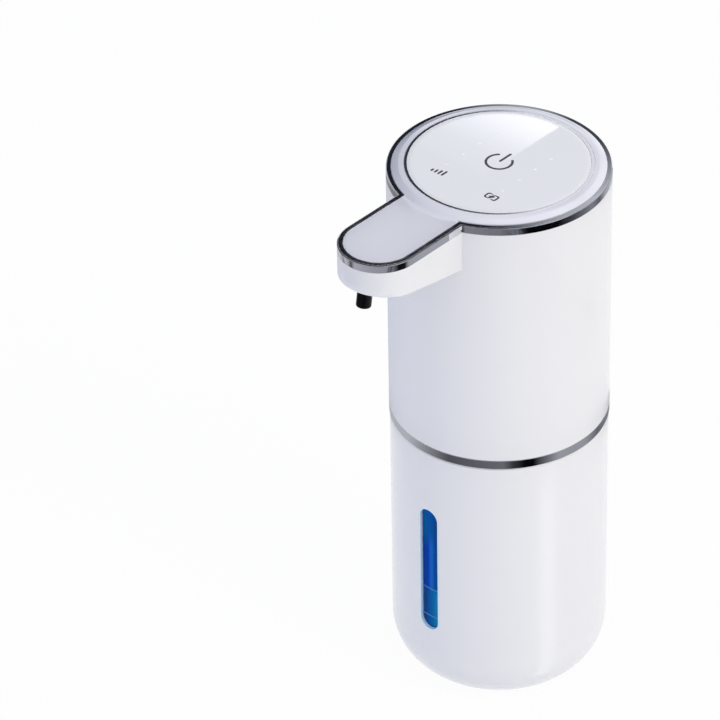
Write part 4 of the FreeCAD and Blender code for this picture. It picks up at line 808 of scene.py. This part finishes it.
powerMark = {"r": 4.3, "gap": 36, "low": 0.1, "high": 6.1, "line": 0.85 * mm}
symbol("powerSymbol",
       stroke(bend(0, 0, powerMark["r"], powerMark["gap"], 360 - powerMark["gap"]), powerMark["line"]),
       stroke(run(0, powerMark["low"], 0, powerMark["high"]), powerMark["line"]))

bars = {"count": 4, "x": -13.3, "y": -18.2, "pitch": 1.45, "low": 1.5, "grow": 0.55, "width": 0.75 * mm}


def signalBar(i):
    # one upright bar, each a step taller than the last
    x = bars["x"] + bars["pitch"] * i
    return stroke(run(x, bars["y"], x, bars["y"] + bars["low"] + bars["grow"] * i), bars["width"])


symbol("signalSymbol", *[signalBar(i) for i in range(bars["count"])])

cellMark = {"x": 11.4, "y": -17.0, "halfX": 2.1, "halfY": 1.25, "round": 0.6, "gap": 0.05,
            "line": 0.62 * mm, "flash": ((0.65, 1.65), (-1.15, -0.35), (-0.6, -0.35), (-0.65, -1.65),
                                         (1.15, 0.35), (0.6, 0.35))}
cellPlace = np.array([cellMark["x"], cellMark["y"]])


def cellOutline(side):
    # half of a battery's outline, open in the middle for the flash
    c = cellMark
    path = roundedPath([
        (side * c["gap"], c["halfY"], 0), (side * c["halfX"], c["halfY"], c["round"]),
        (side * c["halfX"], -c["halfY"], c["round"]), (side * c["gap"], -c["halfY"], 0)], 12, closed=False)
    return stroke((path + cellPlace) * mm, c["line"])


# the flash is a slab on its own six-cornered outline
symbol("chargeSymbol", cellOutline(-1), cellOutline(1),
       slab((np.array(cellMark["flash"]) + cellPlace) * mm, panelTop - panel["inkDeep"], panelHigh.z))

lens = {"r": 0.5 * mm, "deep": 0.4 * mm, "x": 11.75 * mm, "pitch": 8.0 * mm, "count": 4,
        "crown": ((0.8, 0.012 * mm), (0.4, 0.003 * mm))}
crown = [(lens["r"] * share, panelHigh.z - drop) for share, drop in lens["crown"]]
lensPath = np.array([(0, panelTop - lens["deep"]), (lens["r"], panelTop - lens["deep"]),
                     (lens["r"], panelTop), *crown, (0, panelHigh.z)])
lenses = [lathe(lensPath, 24, (side * lens["x"], ((lens["count"] - 1) / 2 - i) * lens["pitch"]), loop=False)
          for side in (-1, 1) for i in range(lens["count"])]
piece("statusLenses", joined(*lenses), ["status_leds"], lightPipe, 50, weld=1e-8)
print("panel made")


# the nozzle and the hand sensor stand square to the sloping floor
nozzle = {"r": 2.5 * mm, "bore": 1.4 * mm, "length": 7.2 * mm, "mouth": 0.35 * mm, "tip": 0.6 * mm,
          "flangeR": 3.8 * mm, "flange": 1.0 * mm, "flangeEdge": 0.15 * mm, "boreEdge": 0.1 * mm}
flangeTop = spout["wall"] + nozzle["flange"]
nozzlePath = roundedPath([
    (nozzle["bore"], -nozzle["length"], nozzle["mouth"]), (nozzle["r"], -nozzle["length"], nozzle["tip"]),
    (nozzle["r"], -nozzle["length"] / 2, 0), (nozzle["r"], spout["wall"], 0),
    (nozzle["flangeR"], spout["wall"], nozzle["flangeEdge"]),
    (nozzle["flangeR"], flangeTop, nozzle["flangeEdge"]), (nozzle["bore"], flangeTop, nozzle["boreEdge"])], 7)
piece("nozzle", onUnderside(lathe(nozzlePath, 96), openings["nozzleAt"]), ["nozzle"], blackAbs)

# (half width, half length, height) of each step of the sensor's window, in mm
sensor = {"round": 0.5 * mm, "steps": ((5.75, 2.75, 0.15), (5.95, 2.95, 0.22), (6.0, 3.0, 0.4),
                                       (6.0, 3.0, 2.0), (6.8, 3.8, 2.0), (6.8, 3.8, 2.8))}


def sensorShape():
    # a flanged window: a rounded rectangle carried up the steps, with both ends closed
    rings = [atHeight(roundedRect(halfX * mm, halfY * mm, sensor["round"]), z * mm)
             for halfX, halfY, z in sensor["steps"]]
    return onUnderside(closedTube(np.stack(rings)), openings["paneAt"])


piece("sensorPane", sensorShape(), ["sensor_window"], infraredPane)

foot = {"r": 15.0 * mm, "flat": 0.3 * mm, "edge": 0.25 * mm, "topEdge": 0.05 * mm, "grooves": 3,
        "pitch": 3.6 * mm, "first": 3.4 * mm, "width": 0.7 * mm, "depth": 0.3 * mm, "steps": 160}
footLow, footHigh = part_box("foot_pad")


def footShape():
    # a disc whose underside has round grooves: its path dips by depth exp(-((r - groove) / half width)^2)
    flatR = foot["r"] - foot["flat"]
    r = np.linspace(0, flatR, foot["steps"])
    dips = [np.exp(-((r - foot["first"] - k * foot["pitch"]) / (foot["width"] / 2)) ** 2)
            for k in range(foot["grooves"])]
    under = np.column_stack([r, footLow.z + foot["depth"] * np.sum(dips, 0)])
    edge = roundedPath([(flatR, footLow.z, 0), (foot["r"], footLow.z, foot["edge"]),
                        (foot["r"], footHigh.z, foot["topEdge"]), (0, footHigh.z, 0)], closed=False)[1:]
    return lathe(np.concatenate([under, edge]), loop=False)


piece("footPad", footShape(), ["foot_pad"], greySilicone)

fill = {"level": 48.0 * mm, "tankWall": 1.3 * mm, "gap": 0.05 * mm, "meniscus": 0.8 * mm,
        "meniscusWidth": 3 * mm}
tankLow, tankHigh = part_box("tank_liner")


def soapShape():
    # the soap inside the bottle; its top is drawn up where it meets the wall, level - rise (1 - (1 - t)^3)
    r, low = tankHigh.x - fill["tankWall"] - fill["gap"], tankLow.z + fill["tankWall"] + fill["gap"]
    roundR = jacket["roundR"] - (jacketR - r)
    base = roundedPath([(0, low, 0), (r, low, roundR), (r, fill["level"], 0)], 20, closed=False)
    t = np.linspace(0, 1, 12)[1:]
    top = np.column_stack([r - fill["meniscusWidth"] * t,
                           fill["level"] - fill["meniscus"] * (1 - (1 - t) ** 3)])
    return lathe(np.concatenate([base, top, [(0, top[-1, 1])]]), 120, loop=False)


part("soapFill", soapShape(), ["tank_liner"], soap, 40)
print("bottle made")


# broken edges of the parts that keep their CAD shape, in mm
edges = {"wall_plate": 0.4, "adhesive_pad": 0.1, "port_plug": 0.25, "plug_anchor": 0.2, "battery_cell": 0.5,
         "pump_head": 0.2, "pump_case": 0.2, "valve_plate": 0.15, "motor_case": 0.3, "motor_endcap": 0.15,
         "crank_wheel": 0.15, "main_board": 0.05, "board_parts": 0.1, "led_board": 0.05,
         "sensor_board": 0.05, "ir_pair": 0.2}


def weldedCopy(node):
    # a copy of a node's mesh with its points merged and its flat faces made whole, then a fine bevel
    mesh = frame["nodes"][node].data.copy()
    bm = bmesh.new()
    bm.from_mesh(mesh)
    bmesh.ops.remove_doubles(bm, verts=bm.verts, dist=1e-6)
    bmesh.ops.dissolve_limit(bm, angle_limit=math.radians(0.4), verts=bm.verts, edges=bm.edges)
    bm.to_mesh(mesh)
    bm.free()
    name = "".join(word.capitalize() if i else word for i, word in enumerate(node.split("_")))
    thing = dress(makeObject(name, mesh), [node], finishes[slotOf[node]], 30)
    if node in edges:
        bevel = thing.modifiers.new("brokenEdges", "BEVEL")
        bevel.width = edges[node] * mm
        bevel.segments = 2
        bevel.limit_method = "ANGLE"
        bevel.angle_limit = math.radians(50)
        bevel.harden_normals = False
    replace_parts(thing, node)


for node in sorted(frame["nodes"]):
    if not frame["nodes"][node].hide_render:
        weldedCopy(node)
print("inner parts made")


view = {"azimuth": 40.55, "elevation": 35.9, "distance": 1.799, "lens": 271.05, "sensor": 36,
        "aimHeight": 0.099, "left": 0.0462, "up": 0.0173}
key = {"azimuth": 49, "elevation": 38, "distance": 2.2, "aimHeight": 0.1, "size": 0.9, "power": 16.0,
       "color": "#FFF1C8"}
air = {"color": "#DADDE9", "strength": 1.0}
paper = {"color": "#F4F4F6", "half": 4, "lit": (0.2, 0.95)}
viewTurn = math.radians(view["azimuth"])
studio = bpy.context.scene


def wayOut(turn, elevation):
    # the way from the object out to a camera or a lamp, (sin t cos e, -cos t cos e, sin e); the turn is
    # in radians from the spout and the elevation in degrees
    rise = math.radians(elevation)
    return Vector((math.sin(turn) * math.cos(rise), -math.cos(turn) * math.cos(rise), math.sin(rise)))


back = wayOut(viewTurn, view["elevation"])
camera = bpy.data.objects.new("camera", bpy.data.cameras.new("camera"))
camera.data.lens = view["lens"]
camera.data.sensor_width = view["sensor"]
camera.location = Vector((0, 0, view["aimHeight"])) + back * view["distance"]
aside = Vector((0, 0, -1)).rotation_difference(Vector((-view["left"], view["up"], -view["distance"])))
camera.rotation_mode = "QUATERNION"
camera.rotation_quaternion = (-back).to_track_quat("-Z", "Y") @ aside
studio.collection.objects.link(camera)
studio.camera = camera

# a round softbox to the camera's right, aimed at the object's middle, left out of reflections
softbox = bpy.data.lights.new("keyLamp", "AREA")
softbox.shape = "DISK"
softbox.size = key["size"]
softbox.energy = key["power"]
softbox.color = linear(key["color"])[:3]
lampWay = wayOut(viewTurn + math.radians(key["azimuth"]), key["elevation"])
lamp = bpy.data.objects.new("keyLamp", softbox)
lamp.location = lampWay * key["distance"] + Vector((0, 0, key["aimHeight"]))
lamp.rotation_euler = lampWay.to_track_quat("Z", "Y").to_euler()
lamp.visible_glossy = False
studio.collection.objects.link(lamp)


def seenBy(tree, *kinds):
    # 1 where the ray is of any of these kinds, the largest of their flags, and else 0
    rays = addNode(tree, "LightPath")
    seen = rays.outputs[kinds[0]]
    for kind in kinds[1:]:
        seen = addNode(tree, "Math", {0: seen, 1: rays.outputs[kind]}, operation="MAXIMUM").outputs[0]
    return seen


studio.world = bpy.data.worlds.new("studio")
studio.world.use_nodes = True
tree = studio.world.node_tree
tree.nodes.clear()
seen = seenBy(tree, "Is Camera Ray", "Is Glossy Ray", "Is Transmission Ray")
dim = addNode(tree, "Background", {"Color": linear(air["color"]), "Strength": air["strength"]})
white = addNode(tree, "Background", {"Color": (1, 1, 1, 1), "Strength": 1.0})
mix = addNode(tree, "MixShader", {0: seen, 1: dim.outputs[0], 2: white.outputs[0]})
addNode(tree, "OutputWorld", {"Surface": mix.outputs[0]})
studio.view_settings.view_transform = "Standard"


def floorPaper():
    # matt white paper; to the camera it is nearly all white, with a trace of the shadow left
    made, tree = newMaterial("mattWhitePaperSweep")
    seen = seenBy(tree, "Is Camera Ray", "Is Glossy Ray")
    matt = addNode(tree, "BsdfDiffuse", {"Color": linear(paper["color"])})
    bright = addNode(tree, "Emission", {"Color": (1, 1, 1, 1), "Strength": 1.0})
    share = addNode(tree, "MapRange", {"Value": seen, "To Min": paper["lit"][0], "To Max": paper["lit"][1]})
    mix = addNode(tree, "MixShader", {0: share.outputs[0], 1: matt.outputs[0], 2: bright.outputs[0]})
    addNode(tree, "OutputMaterial", {"Surface": mix.outputs[0]})
    return made


def stageMesh(name, points, faces, material):
    # a sheet of the studio, not part of the object
    mesh = bpy.data.meshes.new(name)
    mesh.from_pydata(points.reshape(-1, 3).tolist(), [], faces.tolist())
    mesh.materials.append(material)
    sheet = makeObject(name, mesh)
    return sheet


side = np.array([-1, 1]) * paper["half"]
stageMesh("floor", surface(side, side[:, None], 0), gridFaces(2, 2), floorPaper())


def card(name, grid, stops, strength=1.0, byRow=False):
    # a sheet that only shiny surfaces see: its grey follows the grid's columns (or rows) along a ramp
    made, tree = newMaterial(name)
    spot = addNode(tree, "UVMap")
    axes = addNode(tree, "SeparateXYZ", {"Vector": spot.outputs["UV"]})
    grey = addNode(tree, "ValToRGB", {"Fac": axes.outputs["Y" if byRow else "X"]}, stops)
    glow = addNode(tree, "Emission", {"Color": grey.outputs["Color"], "Strength": strength})
    addNode(tree, "OutputMaterial", {"Surface": glow.outputs[0]})
    rows, cols = grid.shape[:2]
    sheet = stageMesh(name, grid, gridFaces(rows, cols), made)
    share = np.stack(np.meshgrid(np.linspace(0, 1, cols), np.linspace(0, 1, rows)), -1).reshape(-1, 2)
    corner = np.empty(len(sheet.data.loops), int)
    sheet.data.loops.foreach_get("vertex_index", corner)
    sheet.data.uv_layers.new(name="share").data.foreach_set("uv", share[corner].ravel())
    sheet.visible_camera = False
    sheet.visible_diffuse = False
    sheet.visible_transmission = False
    sheet.visible_shadow = False


def mirrored(points, normals, reach=None, height=0.8 * mm):
    # where the camera's line to each point goes after a mirror there: r = d - 2 (d.n) n, carried to the
    # table, or by a reach
    d = points - np.array(camera.location)
    d = d / np.linalg.norm(d, axis=-1, keepdims=True)
    r = d - 2 * np.sum(d * normals, -1, keepdims=True) * normals
    if reach is None:
        reach = (height - points[..., 2:]) / r[..., 2:]
    return points + r * reach


def degrees(low, high, stops):
    # ramp stops given by an angle, (at - low) / (high - low)
    return [((at - low) / (high - low), shade) for at, shade in stops]


def spread(low, high, count, start=0.0):
    # level ways out from an upright axis between two angles, (sin t, -cos t, 0), counted from a start
    turn = start + np.radians(np.linspace(low, high, count))
    return surface(np.sin(turn), -np.cos(turn), 0)


outward = spread(-180, 180, 145)
skyReach = 0.6


def sideCard(name, r, low, high, first, last, stops, centreY=0.0, columns=90, strength=1.0, height=0.8 * mm):
    # the strip of table that an upright round wall shows the camera, between two heights and two
    # angles from the camera's side
    way = spread(first, last, columns, viewTurn)
    points = np.stack([way * r + up * low, way * r + up * high]) + np.array([0, centreY, 0])
    card(name, mirrored(points, way, None, height), degrees(first, last, stops), strength)


def topCard(name, inner, outer, z, stops):
    # the strip of sky that a flat ring shows the camera, by the angle round it from the spout
    points = np.stack([outward * inner, outward * outer]) + up * z
    card(name, mirrored(points, up, skyReach), degrees(-180, 180, stops))


sideCard("bandCard", bodyR, bandLow.z - 2.0 * mm, bandHigh.z + 2.0 * mm, -88, 88, [
    (-88, "#B8B9BD"), (-55, "#BCBDC1"), (-42, "#94959A"), (-27, "#56575C"), (-5, "#696A6F"), (2, "#6E6F75"),
    (7, "#3A3B40"), (13, "#08080A"), (18, "#08080A"), (26, "#77787D"), (32, "#A2A3A8"), (50, "#9FA0A5"),
    (62, "#6C6D72"), (78, "#8A8B90")])
rimSide = (rimFoot - 2.0 * mm, rimHigh.z + 1.0 * mm)
sideCard("rimCard", bodyR, *rimSide, -88, 88, [
    (-88, "#A0A2A8"), (-30, "#1A1B20"), (-18.4, "#26272E"), (-17.2, "#83848A"), (0, "#7A7B82"),
    (9, "#4C4D55"), (14, "#060608"), (31, "#060608"), (40, "#484950"), (54, "#85868D"), (61, "#63646A"),
    (67, "#A6A8AE"), (85, "#CFD1D6")])
sideCard("spoutTipCard", spout["halfWidth"], *rimSide, -89, 60, [
    (-89, "#C8CACF"), (-55, "#C6C8CE"), (-47, "#B2B4BA"), (-41, "#46474D"), (-35, "#B0B2B8"),
    (-10, "#A0A2A9"), (14, "#96989F"), (22, "#5C5D64"), (27, "#0A0A0C"), (37, "#14151A"), (44, "#A2A4AA"),
    (60, "#A8AAB0")], tipY, 60)

# the spout's side, dark where it meets the body
flank = {"end": -30.0 * mm, "columns": 24, "below": 1.0 * mm, "above": 0.5 * mm}
flankY = np.linspace(tipY, flank["end"], flank["columns"])
flankZ = np.array([[rimFoot - flank["below"]], [rimHigh.z + flank["above"]]])
rootShare = (-math.sqrt(bodyR ** 2 - spout["halfWidth"] ** 2) - tipY) / (flank["end"] - tipY)
card("spoutSideCard", mirrored(surface(spout["halfWidth"], flankY, flankZ), np.array([1.0, 0.0, 0.0])), [
    (0.0, "#A8AAB0"), (rootShare - 0.05, "#ACAEB4"), (rootShare - 0.02, "#303138"), (1.0, "#1A1B20")])

topCard("rimTopCard", bodyR - 4.3 * mm, bodyR + 3.0 * mm, rimHigh.z, [
    (-180, "#4C4D52"), (-165, "#9A9BA0"), (-152, "#A5A6AC"), (-138, "#86878C"), (-118, "#2C2D36"),
    (-100, "#23242D"), (32, "#23242D"), (44, "#4E5058"), (60, "#8E9097"), (72, "#A9ABB1"), (98, "#C4C6CD"),
    (120, "#A3A5AB"), (140, "#717277"), (154, "#46474D"), (180, "#43444A")])
topCard("panelRingCard", 28.6 * mm, 31.9 * mm, ringHigh.z, [
    (-180, "#EFF0F4"), (-157, "#E8E9ED"), (-138, "#9C9DA4"), (-112, "#5A5B62"), (-88, "#3A3B44"),
    (-20, "#3A3C45"), (5, "#42444C"), (30, "#6A6C74"), (44, "#8E9097"), (60, "#D4D5DA"), (84, "#E8E9ED"),
    (180, "#EFF0F4")])


def coverCard(name, inner, outer, strength, reach, stops):
    # the sky that a band of the sloping cover shows the camera; the normal leans out by the height's
    # slope, (h(r + e) - h(r - e)) / 2e
    small = 0.01 * mm
    radii = np.linspace(inner, outer, 6)[:, None, None]
    slope = (coverHeight(radii + small) - coverHeight(radii - small)) / (2 * small)
    normals = outward * -slope + up
    normals /= np.linalg.norm(normals, axis=-1, keepdims=True)
    card(name, mirrored(outward * radii + coverHeight(radii) * up, normals, reach),
         degrees(-180, 180, stops), strength)


coverCard("coverInnerCard", 30.95 * mm, 32.5 * mm, 2.4, 0.62, [
    (-180, "#C6C7CA"), (-165, "#BEBFC2"), (-150, "#AFB0B3"), (-135, "#9B9C9E"), (-120, "#B7B8BB"),
    (-105, "#C2C3C6"), (-90, "#C4C5C8"), (-75, "#9FA0A3"), (-50, "#9B9C9E"), (-20, "#B5B5B8"),
    (10, "#D8D9DC"), (40, "#EAEBEE"), (62, "#E2E3E6"), (78, "#CBCCCF"), (90, "#BCBCBF"), (115, "#D5D6D9"),
    (140, "#C2C3C6"), (160, "#CECFD2"), (180, "#C6C7CA")])
coverCard("coverOuterCard", 32.5 * mm, 34.8 * mm, 4.0, 0.64, [
    (-180, "#757577"), (-165, "#7F7F82"), (-150, "#606163"), (-135, "#6D6D6F"), (-120, "#535355"),
    (-105, "#0A0A0A"), (-75, "#0F0F10"), (-60, "#363637"), (-45, "#0A0A0A"), (-20, "#606163"),
    (0, "#A9AAAD"), (15, "#BEBEC1"), (35, "#D4D4D8"), (75, "#E5E6EA"), (90, "#CDCED2"), (105, "#D3D4D7"),
    (120, "#C9C9CD"), (135, "#ADAEB1"), (150, "#ABACAE"), (165, "#909193"), (180, "#757577")])

trimEdge = {"lean": (85, 65, 45, 25), "in": 0.15 * mm, "down": 0.1 * mm, "reach": 2.5 * mm, "end": -34.0 * mm}


def edgeCard(name, line, way, stops):
    # a strip close over the trim's near edge, which keeps its round edge dark: a line of points on the
    # edge, each mirrored at normals that lean from upright, up sin a + way cos a, to its way out
    lean = np.radians(trimEdge["lean"])[:, None, None]
    points = line + up * (rimHigh.z - trimEdge["down"])
    card(name, mirrored(points, way * np.cos(lean) + up * np.sin(lean), trimEdge["reach"]), stops)


nearWay = spread(21.7, 128, 43)
edgeCard("rimEdgeCard", nearWay * (bodyR - trimEdge["in"]), nearWay, degrees(21.7, 128, [
    (21.7, "#101116"), (52, "#101116"), (64, "#8A8B90"), (100, "#BCBEC4"), (128, "#9A9CA2")]))
tipWay = spread(-60, 90, 31)
rootY = np.linspace(tipY, trimEdge["end"], 9)[1:]
spoutLine = np.concatenate([
    tipWay * (spout["halfWidth"] - trimEdge["in"]) + np.array([0, tipY, 0]),
    surface(tipWay[-1, 0] * (spout["halfWidth"] - trimEdge["in"]), rootY, 0)])
spoutWay = np.concatenate([tipWay, np.repeat(tipWay[-1:], len(rootY), 0)])
edgeCard("spoutTrimEdgeCard", spoutLine, spoutWay, [(0.0, "#14151A"), (1.0, "#14151A")])


def plateCard(name, half, backEdge, grey, strength, reach):
    # the sky that the spout's flat top shows the camera, out to this far from its middle line, and
    # along the round of its tip, sqrt(half half - y y)
    rows = np.linspace(tipY - half, backEdge, 50)[:, None]
    limit = np.sqrt(np.maximum(half ** 2 - np.minimum(rows - tipY, 0) ** 2, 1e-12))
    patch = surface(limit * np.linspace(-1, 1, 9), rows, rimHigh.z)
    card(name, mirrored(patch, up, reach), [(0.0, grey), (1.0, grey)], strength)


plateCard("spoutPlateCard", 11.3 * mm, -33.0 * mm, "#F8F8FA", 1.45, skyReach)
plateCard("spoutEdgeCard", 17.0 * mm, -36.0 * mm, "#23242D", 1.0, 0.61)

# a soft window high behind: on the flat panel its straight edge ends at the middle and it fades forward
glow = {"edge": 1.4 * mm, "r": 28.4 * mm, "near": -9 * mm, "far": 28.2 * mm, "strength": 2.7}
rows = np.linspace(glow["near"], glow["far"], 40)[:, None]
limit = np.sqrt(glow["r"] ** 2 - rows ** 2)
across = -limit + (np.minimum(limit, glow["edge"]) + limit) * np.linspace(0, 1, 5)
card("windowCard", mirrored(surface(across, rows, panelTop), up, skyReach), [
    (0.0, "#82858C"), (0.12, "#86898F"), (0.3, "#929499"), (0.5, "#B2B4B8"), (0.72, "#D9DADC"),
    (1.0, "#FAFAFC")], glow["strength"], byRow=True)

# greys further out on the table, for chrome seen from lower down
table = {"inner": 0.33, "outer": 1.6, "height": 0.6 * mm}
out = np.stack([outward * table["inner"], outward * table["outer"]]) + up * table["height"]
card("tableCard", out, degrees(-180, 180, [
    (-180, "#8A8D96"), (-125, "#D4D6DE"), (-90, "#C4C6CE"), (-68, "#44464F"), (-30, "#4E505A"),
    (0, "#9C9EA7"), (24, "#0A0A0C"), (42, "#14141A"), (58, "#B6B8BF"), (95, "#D2D4DB"), (118, "#4A4C54"),
    (180, "#8A8D96")]))

# a dark tent over all of it, pale low down on the right: way cos rise + up sin rise
tent = {"r": 3.0, "low": 14, "rows": 16, "columns": 97}
rise = np.radians(np.linspace(tent["low"], 90, tent["rows"]))[:, None, None]
tentWay = spread(-180, 180, tent["columns"], viewTurn) * np.cos(rise) + up * np.sin(rise)
card("tentCard", tentWay * tent["r"], degrees(-180, 180, [
    (-180, "#BCBFC8"), (-155, "#BCBFC8"), (-130, "#22232C"), (15, "#22232C"), (45, "#A4A6AE"),
    (65, "#E4E6EC"), (110, "#F4F5F8"), (150, "#BCBFC8"), (180, "#BCBFC8")]))

# a pale streak down the lower half, from a strip of table to the right of the camera
sideCard("streakCard", bodyR, 4 * mm, 98 * mm, 19, 33, [
    (19, "#B0B0B0"), (24, "#F0F0F0"), (28, "#F0F0F0"), (33, "#B0B0B0")], 0.0, 9, 2.2, 0.5 * mm)
# and a cool grey one for the left edge of the upper half
sideCard("limbCard", bodyR, bandHigh.z + 2 * mm, rimFoot - 2.5 * mm, -89, -50, [
    (-89, "#C6C9D6"), (-66, "#D2D5E0"), (-50, "#F6F7F9")], 0.0, 30, 1.0, 0.3 * mm)
print("studio made")
